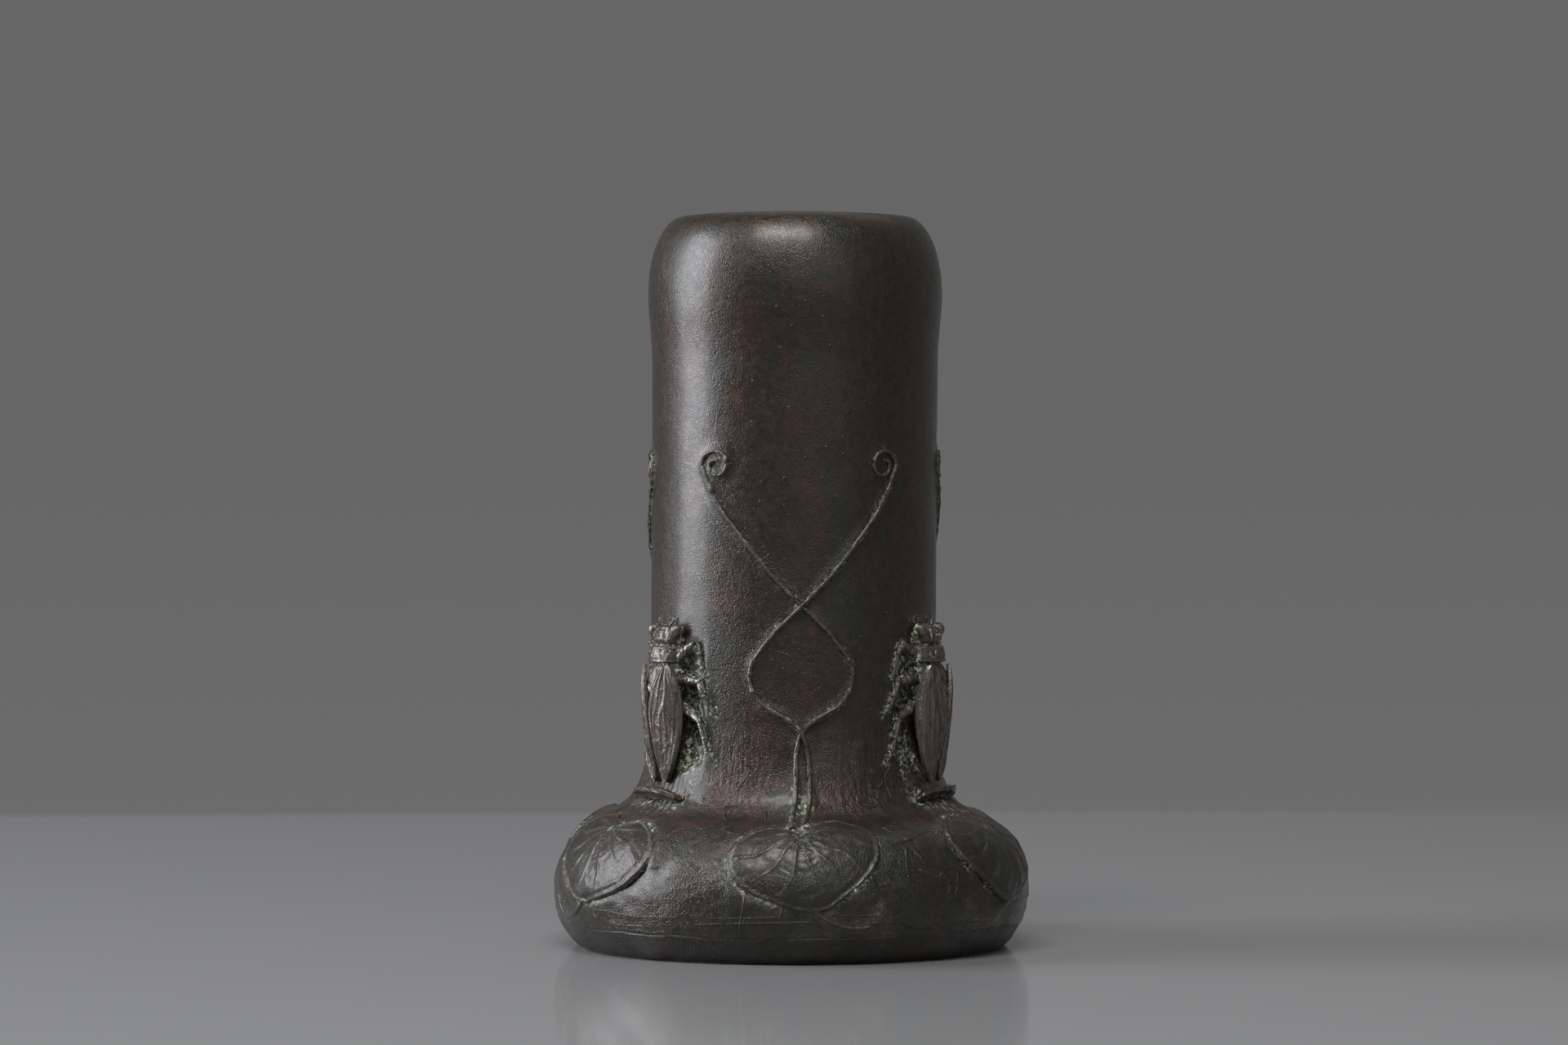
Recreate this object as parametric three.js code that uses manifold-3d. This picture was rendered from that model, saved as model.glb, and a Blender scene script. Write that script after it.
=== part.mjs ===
// A cast bronze flower vase: a tall round neck with a turned-in lip stands on a squat, bun-shaped bulb.
// Three cicadas cling to the foot of the neck, tendrils climb the wall between them, and six pad leaves
// lie on the bulb. The underside is closed by a base pan that is let into the bulb on a spigot.
// Millimetres, +Z up. The origin is the centre of the face the vase stands on, and -Y is the front.

import * as THREE from "three";
import { mergeVertices } from "three/addons/utils/BufferGeometryUtils.js";
import Module from "manifold-3d";

const wasm = await Module();
wasm.setup();

// Outline of the casting
const VASE_HEIGHT = 240;
const WALL = 4;
const LIP_CREST_RADIUS = 37.2;
const LIP_ROLL_DROP = 2.4;
const MOUTH_RADIUS = 33.5;
const SHOULDER_RADIUS = 48.6;
const SHOULDER_DROP = 25.2;
const NECK_RADIUS = 47.3;
const NECK_TOP_DROP = 50;
const FLARE_HEIGHT = 78;
const SADDLE_RADIUS = 60;
const SADDLE_HEIGHT = 44.6;
const BULB_RADIUS = 78.3;
const BULB_GIRTH_HEIGHT = 20.4;
const FOOT_RADIUS = 70;
const OUT_OF_ROUND = 0.3;
const LEAN = 1.6;

// Base pan
const SEAM_HEIGHT = 9;
const FOOT_RING_WIDTH = 8;
const UNDERSIDE_RECESS = 1.5;
const SPIGOT_RISE = 6;
const SPIGOT_THICKNESS = 2.4;

// Seats: the joint between two pieces, and how far a piece is drawn into the wall before it is cut to it
const SEAT_GAP = 0.3;
const SEAT_DEPTH = 1.5;

// The relief repeats in equal panels round the vase: tendrils in the middle of each, cicadas between them
const PANELS = 3;
const PANEL_TURN = 360 / PANELS;

// Cicadas
const CROWN_HEIGHT = 106;
const HEAD_WIDTH = 15;
const HEAD_LENGTH = 6;
const EYE_RADIUS = 2.3;
const COLLAR_WIDTH = 16.6;
const COLLAR_LENGTH = 6.4;
const SHIELD_LENGTH = 11.5;
const ABDOMEN_WIDTH = 12;
const ABDOMEN_LENGTH = 20;
const BACK_HEIGHT = 7.8;
const WING_LENGTH = 38;
const WING_WIDTH = 10.4;
const WING_THICKNESS = 1.2;
const WING_CLEARANCE = 0.8;
const WING_PART = 0.5;
const WING_EDGE_LIFT = 2.4;
const LEG_WIDTH = 1.7;
const LEG_HEIGHT = 1.5;
const LEG_REACH = 21;

// Tendrils
const TENDRIL_WIDTH = 1.8;
const TENDRIL_HEIGHT = 1.3;
const TENDRIL_TAPER = 0.42;
const TENDRIL_ROOT_CLEARANCE = 1.3;
const TENDRIL_ROOT_PITCH = 2.6;
const TENDRIL_SWAY = 2.1;
const TENDRIL_LOW_CROSSING = 72;
const TENDRIL_BOW_HEIGHT = 92;
const TENDRIL_BOW_ANGLE = 20;
const TENDRIL_HIGH_CROSSING = 113;
const TENDRIL_TIP_HEIGHT = 158;
const TENDRIL_TIP_ANGLE = 41;
const TENDRIL_HOP = 1.2;
const CURL_RADIUS = 5.4;
const CURL_EYE_RADIUS = 1.5;
const CURL_TURNS = 1.3;
const KNOTS_ON_CURL = 4;
const KNOT_SWELL = 1.35;

// Pad leaves and the stalks that the cicadas perch on
const LEAF_HEIGHT = 34.5;
const LEAF_WIDTH = 50;
const LEAF_LENGTH = 31;
const LEAF_NOTCH = 6;
const LEAF_EDGE = 1.0;
const LEAF_CROWN = 1.1;
const LEAF_TILT = 9;
const TAIL_WIDTH = 2.2;
const TAIL_RISE = 1.2;
const TAIL_REACH = 20;
const TAIL_DROP = 7;
const PERCH_HEIGHT = 51.2;
const PERCH_LENGTH = 24;
const PERCH_WIDTH = 4.4;
const PERCH_RISE = 4.2;
const PERCH_DROOP = 1.4;

// Fineness
const AROUND = 48;
const ROWS = { foot: 5, bulb: 6, flare: 7, neck: 3, ease: 2, shoulder: 5, lip: 2 };
const EDGE_ROW = 1;
const STEPS_PER_KNOT = 3;

const radians = THREE.MathUtils.degToRad;

// The outer outline runs from the foot up to the mouth as (radius, height), one curve for each form.
const corner = (radius, height) => new THREE.Vector2(radius, height);
const foot = corner(FOOT_RADIUS, 0);
const girth = corner(BULB_RADIUS, BULB_GIRTH_HEIGHT);
const saddle = corner(SADDLE_RADIUS, SADDLE_HEIGHT);
const neckFoot = corner(NECK_RADIUS, FLARE_HEIGHT);
const neckTop = corner(NECK_RADIUS, VASE_HEIGHT - NECK_TOP_DROP);
const shoulder = corner(SHOULDER_RADIUS, VASE_HEIGHT - SHOULDER_DROP);
const crest = corner(LIP_CREST_RADIUS, VASE_HEIGHT);
const mouth = corner(MOUTH_RADIUS, VASE_HEIGHT - LIP_ROLL_DROP);

function between(from, to, radiusShare, heightShare) {
  return corner(
    THREE.MathUtils.lerp(from.x, to.x, radiusShare),
    THREE.MathUtils.lerp(from.y, to.y, heightShare),
  );
}

const curves = {
  foot: new THREE.CubicBezierCurve(
    foot,
    between(foot, girth, 0.65, 0.22),
    between(foot, girth, 1, 0.54),
    girth,
  ),
  bulb: new THREE.CubicBezierCurve(
    girth,
    between(girth, saddle, 0, 0.44),
    between(girth, saddle, 0.5, 0.88),
    saddle,
  ),
  flare: new THREE.CubicBezierCurve(
    saddle,
    between(saddle, neckFoot, 0.71, 0.09),
    between(saddle, neckFoot, 1, 0.4),
    neckFoot,
  ),
  neck: new THREE.LineCurve(neckFoot, neckTop),
  ease: new THREE.CubicBezierCurve(
    neckTop,
    between(neckTop, shoulder, 0, 0.44),
    between(neckTop, shoulder, 1, 0.64),
    shoulder,
  ),
  shoulder: new THREE.CubicBezierCurve(
    shoulder,
    between(shoulder, crest, 0, 0.6),
    between(shoulder, crest, 0.52, 1),
    crest,
  ),
  lip: new THREE.CubicBezierCurve(
    crest,
    between(crest, mouth, 0.55, 0),
    between(crest, mouth, 1, 0.35),
    mouth,
  ),
};

const outline = new THREE.CurvePath();
Object.values(curves).forEach((curve) => outline.add(curve));
const outlineLength = outline.getLength();
const curveEnds = outline.getCurveLengths();

function outlineAt(run, lift = 0) {
  const share = THREE.MathUtils.clamp(run / outlineLength, 0, 1);
  const point = outline.getPoint(share);
  const along = outline.getTangent(share);
  return corner(point.x + lift * along.y, point.y - lift * along.x);
}

// The run along the outline, from the foot, at which the casting has a given height.
function runAtHeight(height) {
  let low = 0;
  let high = curveEnds[curveEnds.length - 2];
  for (let step = 0; step < 40; step++) {
    const middle = (low + high) / 2;
    if (outlineAt(middle).y < height) low = middle;
    else high = middle;
  }
  return (low + high) / 2;
}

// The runs of the rows of facets between two places on the outline.
function rows(from, to) {
  const found = [];
  Object.keys(curves).forEach((name, index) => {
    const start = index ? curveEnds[index - 1] : 0;
    for (let row = 0; row < ROWS[name]; row++) {
      found.push(THREE.MathUtils.lerp(start, curveEnds[index], row / ROWS[name]));
    }
  });
  const inside = found.filter((run) => run > from + EDGE_ROW && run < to - EDGE_ROW);
  return [from, ...inside, to];
}

// A hand-built wax is never quite round or upright: it leans to the right, and two slow waves run round it.
function outOfRound(angle, height) {
  const climb = height / VASE_HEIGHT;
  const lean = LEAN * (climb - 0.56) * Math.sin(angle);
  const oval = Math.sin(2 * angle + 0.5 + 2.7 * climb);
  const lobes = Math.sin(3 * angle - 1.1 - 3.4 * climb);
  return lean + OUT_OF_ROUND * (oval + 0.7 * lobes);
}

// A point on the casting's skin, or lifted off it. The angle is from the front, to the right.
function onSkin(angle, run, lift = 0) {
  const at = outlineAt(run, lift);
  const radius = at.x + outOfRound(angle, at.y);
  return new THREE.Vector3(radius * Math.sin(angle), -radius * Math.cos(angle), at.y);
}

function turned(profile) {
  const geometry = new THREE.LatheGeometry(profile, AROUND).rotateX(Math.PI / 2);
  const position = geometry.getAttribute("position");
  for (let i = 0; i < position.count; i++) {
    const x = position.getX(i);
    const y = position.getY(i);
    const radius = Math.hypot(x, y);
    if (radius < SEAT_GAP) continue;
    const share = Math.min(1, radius / MOUTH_RADIUS);
    const stretch = 1 + (share * outOfRound(Math.atan2(x, -y), position.getZ(i))) / radius;
    position.setXY(i, x * stretch, y * stretch);
  }
  return geometry;
}

// Closes a row of rings of points, all with as many points, into one solid with a flat cap at each end.
function loft(rings) {
  const size = rings[0].length;
  const corners = rings.flat();
  const faces = [];
  for (let ring = 0; ring + 1 < rings.length; ring++) {
    for (let i = 0; i < size; i++) {
      const a = ring * size + i;
      const b = ring * size + ((i + 1) % size);
      faces.push(a, b, a + size, b, b + size, a + size);
    }
  }
  const last = (rings.length - 1) * size;
  for (let i = 1; i + 1 < size; i++) {
    faces.push(0, i + 1, i);
    faces.push(last, last + i, last + i + 1);
  }
  return closed(corners, faces);
}

// A closed geometry from corners and faces, turned the right way out.
function closed(corners, faces) {
  let volume = 0;
  for (let i = 0; i < faces.length; i += 3) {
    const [a, b, c] = [corners[faces[i]], corners[faces[i + 1]], corners[faces[i + 2]]];
    volume += a.dot(new THREE.Vector3().crossVectors(b, c));
  }
  if (volume < 0) faces.reverse();
  return new THREE.BufferGeometry().setFromPoints(corners).setIndex(faces);
}

function solidOf(geometry) {
  const bare = new THREE.BufferGeometry().setAttribute("position", geometry.getAttribute("position"));
  bare.setIndex(geometry.getIndex());
  const merged = mergeVertices(bare, 1e-4);
  const triVerts = [];
  const index = merged.getIndex().array;
  for (let i = 0; i < index.length; i += 3) {
    const [a, b, c] = index.slice(i, i + 3);
    if (a !== b && b !== c && a !== c) triVerts.push(a, b, c);
  }
  return new wasm.Manifold(
    new wasm.Mesh({
      numProp: 3,
      vertProperties: Float32Array.from(merged.getAttribute("position").array),
      triVerts: Uint32Array.from(triVerts),
    }),
  );
}

function geometryOf(solid) {
  const mesh = solid.getMesh();
  const geometry = new THREE.BufferGeometry();
  geometry.setAttribute("position", new THREE.BufferAttribute(Float32Array.from(mesh.vertProperties), 3));
  geometry.setIndex([...mesh.triVerts]);
  geometry.computeVertexNormals();
  return geometry;
}

// Vase body: skin, rolled lip and inner wall, open at the mouth and at the seam
const seamRun = runAtHeight(SEAM_HEIGHT);
const crestRun = curveEnds[curveEnds.length - 2];

function innerRows(from, to) {
  return rows(from, to)
    .filter((run, index, all) => index % 2 === 0 || index === all.length - 1)
    .map((run) => outlineAt(run, -WALL));
}

function vaseBody() {
  const skin = rows(seamRun, outlineLength).map((run) => outlineAt(run));
  const lipUnderside = corner(MOUTH_RADIUS, VASE_HEIGHT - WALL);
  const inside = innerRows(seamRun, crestRun).reverse();
  inside[inside.length - 1].y = SEAM_HEIGHT;
  return turned([...skin, lipUnderside, ...inside, skin[0]]);
}

// Base pan: a shallow dish with a foot ring, whose spigot stands inside the bulb's wall
function basePan() {
  const joint = seamRun - SEAT_GAP;
  const skin = rows(0, joint).map((run) => outlineAt(run));
  const jointHeight = skin[skin.length - 1].y;
  const bore = outlineAt(seamRun, -WALL).x - SEAT_GAP;
  const spigotTop = SEAM_HEIGHT + SPIGOT_RISE;
  const boreAbove = outlineAt(runAtHeight(spigotTop), -WALL).x - SEAT_GAP;
  const innerFoot = outlineAt(0, -WALL);
  const floor = UNDERSIDE_RECESS + WALL;
  return turned([
    corner(0, UNDERSIDE_RECESS),
    corner(FOOT_RADIUS - FOOT_RING_WIDTH, UNDERSIDE_RECESS),
    corner(FOOT_RADIUS - FOOT_RING_WIDTH, 0),
    ...skin,
    corner(bore, jointHeight),
    corner(Math.min(bore, boreAbove), spigotTop),
    corner(Math.min(bore, boreAbove) - SPIGOT_THICKNESS, spigotTop),
    corner(bore - SPIGOT_THICKNESS, jointHeight),
    corner(innerFoot.x - WALL, floor),
    corner(0, floor),
  ]);
}

// What a piece laid on the casting is cut with, so that it seats on every facet of the skin
const seatCutter = solidOf(
  turned([
    corner(0, -WALL),
    corner(FOOT_RADIUS, -WALL),
    ...rows(0, crestRun).map((run) => outlineAt(run, SEAT_GAP)),
    corner(0, VASE_HEIGHT + SEAT_GAP),
  ]),
);

function fused(geometries) {
  return geometries.map(solidOf).reduce((whole, piece) => whole.add(piece));
}

// A thread of wax laid along a route over the skin: it lies flat on its seat and has a ridge above.
// Grown by a clearance, it cuts the way for itself through a piece that crosses over it.
function thread(route, widthAt, heightAt, clearance = 0) {
  const rings = route.map((at, index) => {
    const before = route[Math.max(index - 1, 0)];
    const after = route[Math.min(index + 1, route.length - 1)];
    const radius = outlineAt(at.run).x;
    const heading = corner((after.angle - before.angle) * radius, after.run - before.run).normalize();
    const share = index / (route.length - 1);
    const knot = at.knot || 1;
    const half = (knot * widthAt(share)) / 2 + clearance;
    const bed = SEAT_GAP - clearance;
    const top = SEAT_GAP + (at.lift || 0) + knot * heightAt(share) + clearance;
    const section = [
      [-1, bed],
      [1, bed],
      [0.8, THREE.MathUtils.lerp(bed, top, 0.7)],
      [0, top],
      [-0.8, THREE.MathUtils.lerp(bed, top, 0.7)],
    ];
    return section.map(([side, lift]) => {
      const across = side * half;
      return onSkin(at.angle - (across * heading.y) / radius, at.run + across * heading.x, lift);
    });
  });
  return loft(rings);
}

// Which of the places that a tendril's stem runs through are its low and its high crossing
const CROSSINGS = [2, 6];

// One tendril: it springs from the notch of the leaf below, weaves twice over the middle of its panel
// and ends in a crozier. The one laid over the other hops across it.
function tendrilRoute(side, panelAngle, rootTilt, over) {
  const root = leafFlat(corner(0, LEAF_LENGTH / 2 - LEAF_NOTCH + TENDRIL_ROOT_CLEARANCE), rootTilt);
  const rootPlace = corner(root.x - (side * TENDRIL_ROOT_PITCH) / 2, runAtHeight(LEAF_HEIGHT) + root.y);
  const bow = TENDRIL_BOW_ANGLE * side;
  const reach = -TENDRIL_TIP_ANGLE * side;
  const height = THREE.MathUtils.lerp;
  const weave = [
    [0, TENDRIL_LOW_CROSSING],
    [0.8 * bow, height(TENDRIL_LOW_CROSSING, TENDRIL_BOW_HEIGHT, 0.5)],
    [bow, TENDRIL_BOW_HEIGHT],
    [0.62 * bow, height(TENDRIL_BOW_HEIGHT, TENDRIL_HIGH_CROSSING, 0.5)],
    [0, TENDRIL_HIGH_CROSSING],
    [0.36 * reach, height(TENDRIL_HIGH_CROSSING, TENDRIL_TIP_HEIGHT, 0.29)],
    [0.8 * reach, height(TENDRIL_HIGH_CROSSING, TENDRIL_TIP_HEIGHT, 0.71)],
    [reach, TENDRIL_TIP_HEIGHT],
  ];
  const places = weave.map(([angle, high]) => corner(radians(angle) * NECK_RADIUS, runAtHeight(high)));
  const swayPlace = corner(-TENDRIL_SWAY * side, (rootPlace.y + places[0].y) / 2);
  const stem = new THREE.SplineCurve([rootPlace, swayPlace, ...places]);
  const route = stem.getPoints((stem.points.length - 1) * STEPS_PER_KNOT);
  const tip = route[route.length - 1];
  const eye = corner(tip.x + CURL_RADIUS * side, tip.y);
  const curlSteps = KNOTS_ON_CURL * STEPS_PER_KNOT;
  for (let step = 1; step <= curlSteps; step++) {
    const turn = (step / curlSteps) * CURL_TURNS * 2 * Math.PI;
    const radius = THREE.MathUtils.lerp(CURL_RADIUS, CURL_EYE_RADIUS, step / curlSteps);
    route.push(corner(eye.x - radius * Math.cos(turn) * side, eye.y + radius * Math.sin(turn)));
  }
  return route.map((point, index) => ({
    angle: radians(panelAngle) + point.x / NECK_RADIUS,
    run: point.y,
    lift: over && CROSSINGS.includes(index / STEPS_PER_KNOT) ? TENDRIL_HOP : 0,
    knot: index % STEPS_PER_KNOT === 1 ? KNOT_SWELL : 1,
  }));
}

const tendrilWidth = (share) => TENDRIL_WIDTH * (1 - TENDRIL_TAPER * share);
const tendrilHeight = (share) => TENDRIL_HEIGHT * (1 - TENDRIL_TAPER * share);

function tendrilPair(panelAngle, rootTilt) {
  const under = tendrilRoute(1, panelAngle, rootTilt, false);
  const over = tendrilRoute(-1, panelAngle, rootTilt, true);
  const inTheWay = solidOf(thread(under, tendrilWidth, tendrilHeight, SEAT_GAP));
  return {
    right: solidOf(thread(under, tendrilWidth, tendrilHeight)),
    left: solidOf(thread(over, tendrilWidth, tendrilHeight)).subtract(inTheWay),
  };
}

// A cicada's back, from head to tail: each station's place below the crown, its half width and its rise
const headEnd = HEAD_LENGTH;
const collarEnd = headEnd + COLLAR_LENGTH;
const shieldEnd = collarEnd + SHIELD_LENGTH;
const tailEnd = shieldEnd + ABDOMEN_LENGTH;

const backStations = [
  [0, 0.34 * HEAD_WIDTH, 0.35 * BACK_HEIGHT],
  [0.25 * headEnd, 0.46 * HEAD_WIDTH, 0.6 * BACK_HEIGHT],
  [0.7 * headEnd, 0.5 * HEAD_WIDTH, 0.74 * BACK_HEIGHT],
  [headEnd, 0.46 * HEAD_WIDTH, 0.62 * BACK_HEIGHT],
  [headEnd + 0.12 * COLLAR_LENGTH, 0.47 * COLLAR_WIDTH, 0.8 * BACK_HEIGHT],
  [headEnd + 0.6 * COLLAR_LENGTH, 0.5 * COLLAR_WIDTH, 0.9 * BACK_HEIGHT],
  [collarEnd - 0.1 * COLLAR_LENGTH, 0.5 * COLLAR_WIDTH, 0.86 * BACK_HEIGHT],
  [collarEnd, 0.45 * COLLAR_WIDTH, 0.78 * BACK_HEIGHT],
  [collarEnd + 0.35 * SHIELD_LENGTH, 0.46 * COLLAR_WIDTH, BACK_HEIGHT],
  [collarEnd + 0.75 * SHIELD_LENGTH, 0.42 * COLLAR_WIDTH, BACK_HEIGHT],
  [shieldEnd, 0.5 * ABDOMEN_WIDTH, 0.84 * BACK_HEIGHT],
  [shieldEnd + 0.3 * ABDOMEN_LENGTH, 0.5 * ABDOMEN_WIDTH, 0.8 * BACK_HEIGHT],
  [shieldEnd + 0.65 * ABDOMEN_LENGTH, 0.36 * ABDOMEN_WIDTH, 0.62 * BACK_HEIGHT],
  [tailEnd, 0.1 * ABDOMEN_WIDTH, 0.3 * BACK_HEIGHT],
];

// Half width and rise of the back at a distance below the crown, read between the stations
function backAt(below) {
  const next = backStations.findIndex((station) => station[0] >= below);
  if (next <= 0) return backStations[next === 0 ? 0 : backStations.length - 1].slice(1);
  const [a, b] = [backStations[next - 1], backStations[next]];
  const share = (below - a[0]) / (b[0] - a[0]);
  return [THREE.MathUtils.lerp(a[1], b[1], share), THREE.MathUtils.lerp(a[2], b[2], share)];
}

// A cicada's own frame: across its back, below its crown, and out from the tangent plane of the neck
function cicadaFrame(angle) {
  const centre = new THREE.Vector3(Math.sin(angle), -Math.cos(angle), 0);
  const tangent = new THREE.Vector3(Math.cos(angle), Math.sin(angle), 0);
  return (across, below, out) =>
    centre
      .clone()
      .multiplyScalar(NECK_RADIUS + out)
      .addScaledVector(tangent, across)
      .setZ(CROWN_HEIGHT - below);
}

const DOME = [-1, -0.86, -0.55, 0, 0.55, 0.86, 1];

function cicadaBack(place) {
  const rings = backStations.map(([below, half, rise]) => {
    const dome = DOME.map((side) => place(side * half, below, rise * (1 - side * side) ** 0.5));
    return [place(half, below, -2 * SEAT_DEPTH), place(-half, below, -2 * SEAT_DEPTH), ...dome];
  });
  return loft(rings);
}

function cicadaEye(place, side) {
  const [half, rise] = backAt(0.5 * headEnd);
  const centre = place(side * half, 0.5 * headEnd, rise * 0.45);
  return new THREE.IcosahedronGeometry(EYE_RADIUS, 1).translate(centre.x, centre.y, centre.z);
}

// Three legs a side, from under the wing out over the wall, as shares of their reach and of the body length
const LEGS = {
  fore: [[0.24, 0.27], [0.42, 0.19], [0.6, 0.135], [0.7, 0.2], [0.76, 0.305], [0.82, 0.375]],
  mid: [[0.24, 0.41], [0.48, 0.395], [0.7, 0.405], [0.82, 0.51], [0.9, 0.6], [1, 0.645]],
  hind: [[0.24, 0.57], [0.46, 0.62], [0.74, 0.695], [0.82, 0.82], [0.88, 0.93], [0.98, 1]],
};

function cicadaLeg(angle, side, joints) {
  const route = joints.map(([out, down]) => ({
    angle: angle + (side * out * LEG_REACH) / NECK_RADIUS,
    run: runAtHeight(CROWN_HEIGHT - down * tailEnd),
  }));
  const taper = (share) => 1 - 0.5 * share;
  return thread(
    route,
    (share) => LEG_WIDTH * taper(share),
    (share) => LEG_HEIGHT * taper(share),
  );
}

function cicada(angle) {
  const place = cicadaFrame(angle);
  const legs = Object.values(LEGS).flatMap((joints) => [
    cicadaLeg(angle, 1, joints),
    cicadaLeg(angle, -1, joints),
  ]);
  const body = fused([cicadaBack(place), cicadaEye(place, 1), cicadaEye(place, -1)]);
  return body.subtract(seatCutter).add(fused(legs));
}

// A folded forewing: a thin roof over the abdomen, from its hinge below the collar to its rounded tip,
// as [share of the length, share of the width at the inner edge, and at the outer edge]
const WING_STATIONS = [
  [0, 0.5, 0.72],
  [0.08, 0.32, 0.86],
  [0.22, 0.14, 0.97],
  [0.4, 0, 1],
  [0.58, 0, 0.97],
  [0.74, 0.01, 0.86],
  [0.87, 0.05, 0.68],
  [0.96, 0.12, 0.46],
  [1, 0.2, 0.34],
];
const WING_SPANS = [0, 0.36, 0.7, 1];
const ROOF_ROUNDNESS = 2;

function cicadaWing(angle, side) {
  const place = cicadaFrame(angle);
  const rings = WING_STATIONS.map(([share, inner, outer]) => {
    const below = collarEnd + SEAT_GAP + share * WING_LENGTH;
    const crestRise = backAt(Math.min(below, tailEnd))[1] + WING_CLEARANCE;
    const edgeLift = WING_EDGE_LIFT * (1 - 0.25 * share);
    const from = WING_PART + inner * (WING_WIDTH - WING_PART);
    const to = WING_PART + outer * (WING_WIDTH - WING_PART);
    const roof = (across) => crestRise - (crestRise - edgeLift) * (across / WING_WIDTH) ** ROOF_ROUNDNESS;
    const spans = WING_SPANS.map((span) => THREE.MathUtils.lerp(from, to, span));
    const under = spans.map((across) => place(side * across, below, roof(across)));
    const upper = spans
      .map((across) => place(side * across, below, roof(across) + WING_THICKNESS))
      .reverse();
    return [...under, ...upper];
  });
  return solidOf(loft(rings)).subtract(seatCutter);
}

// A pad leaf lies on the bulb: heart-shaped, notched towards the neck, and crowned in the middle
const LEAF_SPOKES = 20;
const TAIL_STEPS = 8;
const LEAF_RINGS = [0.34, 0.7, 1];

// A place on a leaf's own flat, as (across, along the outline), turned by the leaf's tilt
function leafFlat(flat, tilt) {
  return flat.clone().rotateAround(corner(0, 0), radians(tilt));
}

function leafEdge(turn) {
  const notch = LEAF_NOTCH * Math.exp(-(((turn - Math.PI) / 0.3) ** 2));
  const tip = 0.1 * LEAF_LENGTH * Math.exp(-((Math.min(turn, 2 * Math.PI - turn) / 0.4) ** 2));
  const across = (LEAF_WIDTH / 2) * Math.sin(turn) * (1 - 0.1 * Math.cos(turn));
  const up = (-LEAF_LENGTH / 2) * Math.cos(turn) - notch - tip;
  return corner(across, up);
}

// The drip tip of a leaf runs out sideways into a fine curl
function leafTail(angle, tilt) {
  const middle = runAtHeight(LEAF_HEIGHT);
  const girthAt = outlineAt(middle).x;
  const low = leafEdge(0).y;
  const side = Math.sign(tilt);
  const places = [
    corner(0, 0.7 * low),
    corner(0, low),
    corner(0.35 * TAIL_REACH * side, low - 0.8 * TAIL_DROP),
    corner(0.75 * TAIL_REACH * side, low - TAIL_DROP),
    corner(TAIL_REACH * side, low - 0.3 * TAIL_DROP),
  ];
  const flat = places.map((place) => leafFlat(place, tilt));
  const route = new THREE.SplineCurve(flat).getSpacedPoints(TAIL_STEPS);
  const taper = (share) => 1 - 0.6 * share;
  return thread(
    route.map((point) => ({ angle: angle + point.x / girthAt, run: middle + point.y })),
    (share) => TAIL_WIDTH * taper(share),
    (share) => TAIL_RISE * taper(share),
  );
}

function padLeaf(angle, tilt) {
  const middle = runAtHeight(LEAF_HEIGHT);
  const girthAt = outlineAt(middle).x;
  const spot = (flat, lift) => {
    const place = leafFlat(flat, tilt);
    return onSkin(angle + place.x / girthAt, middle + place.y, lift);
  };
  const centre = corner(0, 0);
  const corners = [spot(centre, SEAT_GAP + LEAF_EDGE + LEAF_CROWN), spot(centre, -SEAT_DEPTH)];
  const faces = [];
  const edge = Array.from({ length: LEAF_SPOKES }, (_, i) => leafEdge((i / LEAF_SPOKES) * 2 * Math.PI));
  LEAF_RINGS.forEach((ring) => {
    const rise = SEAT_GAP + LEAF_EDGE + LEAF_CROWN * (1 - ring ** 2);
    edge.forEach((flat) => corners.push(spot(flat.clone().multiplyScalar(ring), rise)));
  });
  edge.forEach((flat) => corners.push(spot(flat, -SEAT_DEPTH)));
  const at = (ring, spoke) => 2 + ring * LEAF_SPOKES + (spoke % LEAF_SPOKES);
  for (let spoke = 0; spoke < LEAF_SPOKES; spoke++) {
    faces.push(0, at(0, spoke), at(0, spoke + 1));
    for (let ring = 0; ring < LEAF_RINGS.length; ring++) {
      faces.push(at(ring, spoke), at(ring + 1, spoke), at(ring + 1, spoke + 1));
      faces.push(at(ring, spoke), at(ring + 1, spoke + 1), at(ring, spoke + 1));
    }
    faces.push(1, at(LEAF_RINGS.length, spoke + 1), at(LEAF_RINGS.length, spoke));
  }
  return solidOf(closed(corners, faces)).subtract(seatCutter).add(solidOf(leafTail(angle, tilt)));
}

// The short stalk across the foot of the neck that a cicada's wing tips rest over
function perch(angle) {
  const reach = PERCH_LENGTH / 2 / NECK_RADIUS;
  const route = [-1, -0.75, -0.4, 0, 0.4, 0.75, 1].map((share) => ({
    angle: angle + share * reach,
    run: runAtHeight(PERCH_HEIGHT - PERCH_DROOP * share * share),
  }));
  const swell = (share) => 0.45 + 0.55 * Math.sin(Math.PI * share);
  return thread(
    route,
    (share) => PERCH_WIDTH * swell(share),
    (share) => PERCH_RISE * swell(share),
  );
}

// Materials
const METALNESS = 0.85;

function bronze(color, roughness) {
  return new THREE.MeshStandardMaterial({ color, roughness, metalness: METALNESS });
}

const brownPatina = bronze(0x3a302a, 0.42);
const basePatina = bronze(0x322d28, 0.5);
const figurePatina = bronze(0x463a32, 0.38);
const wingPatina = bronze(0x4b4038, 0.36);
const tendrilPatina = bronze(0x54463c, 0.34);
const leafPatina = bronze(0x3e3a33, 0.4);

// Assembly
const vase = new THREE.Group();

function add(name, geometry, material) {
  const mesh = new THREE.Mesh(geometry, material);
  mesh.name = name;
  vase.add(mesh);
}

add("vase_body", vaseBody(), brownPatina);
add("base_pan", basePan(), basePatina);

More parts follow.
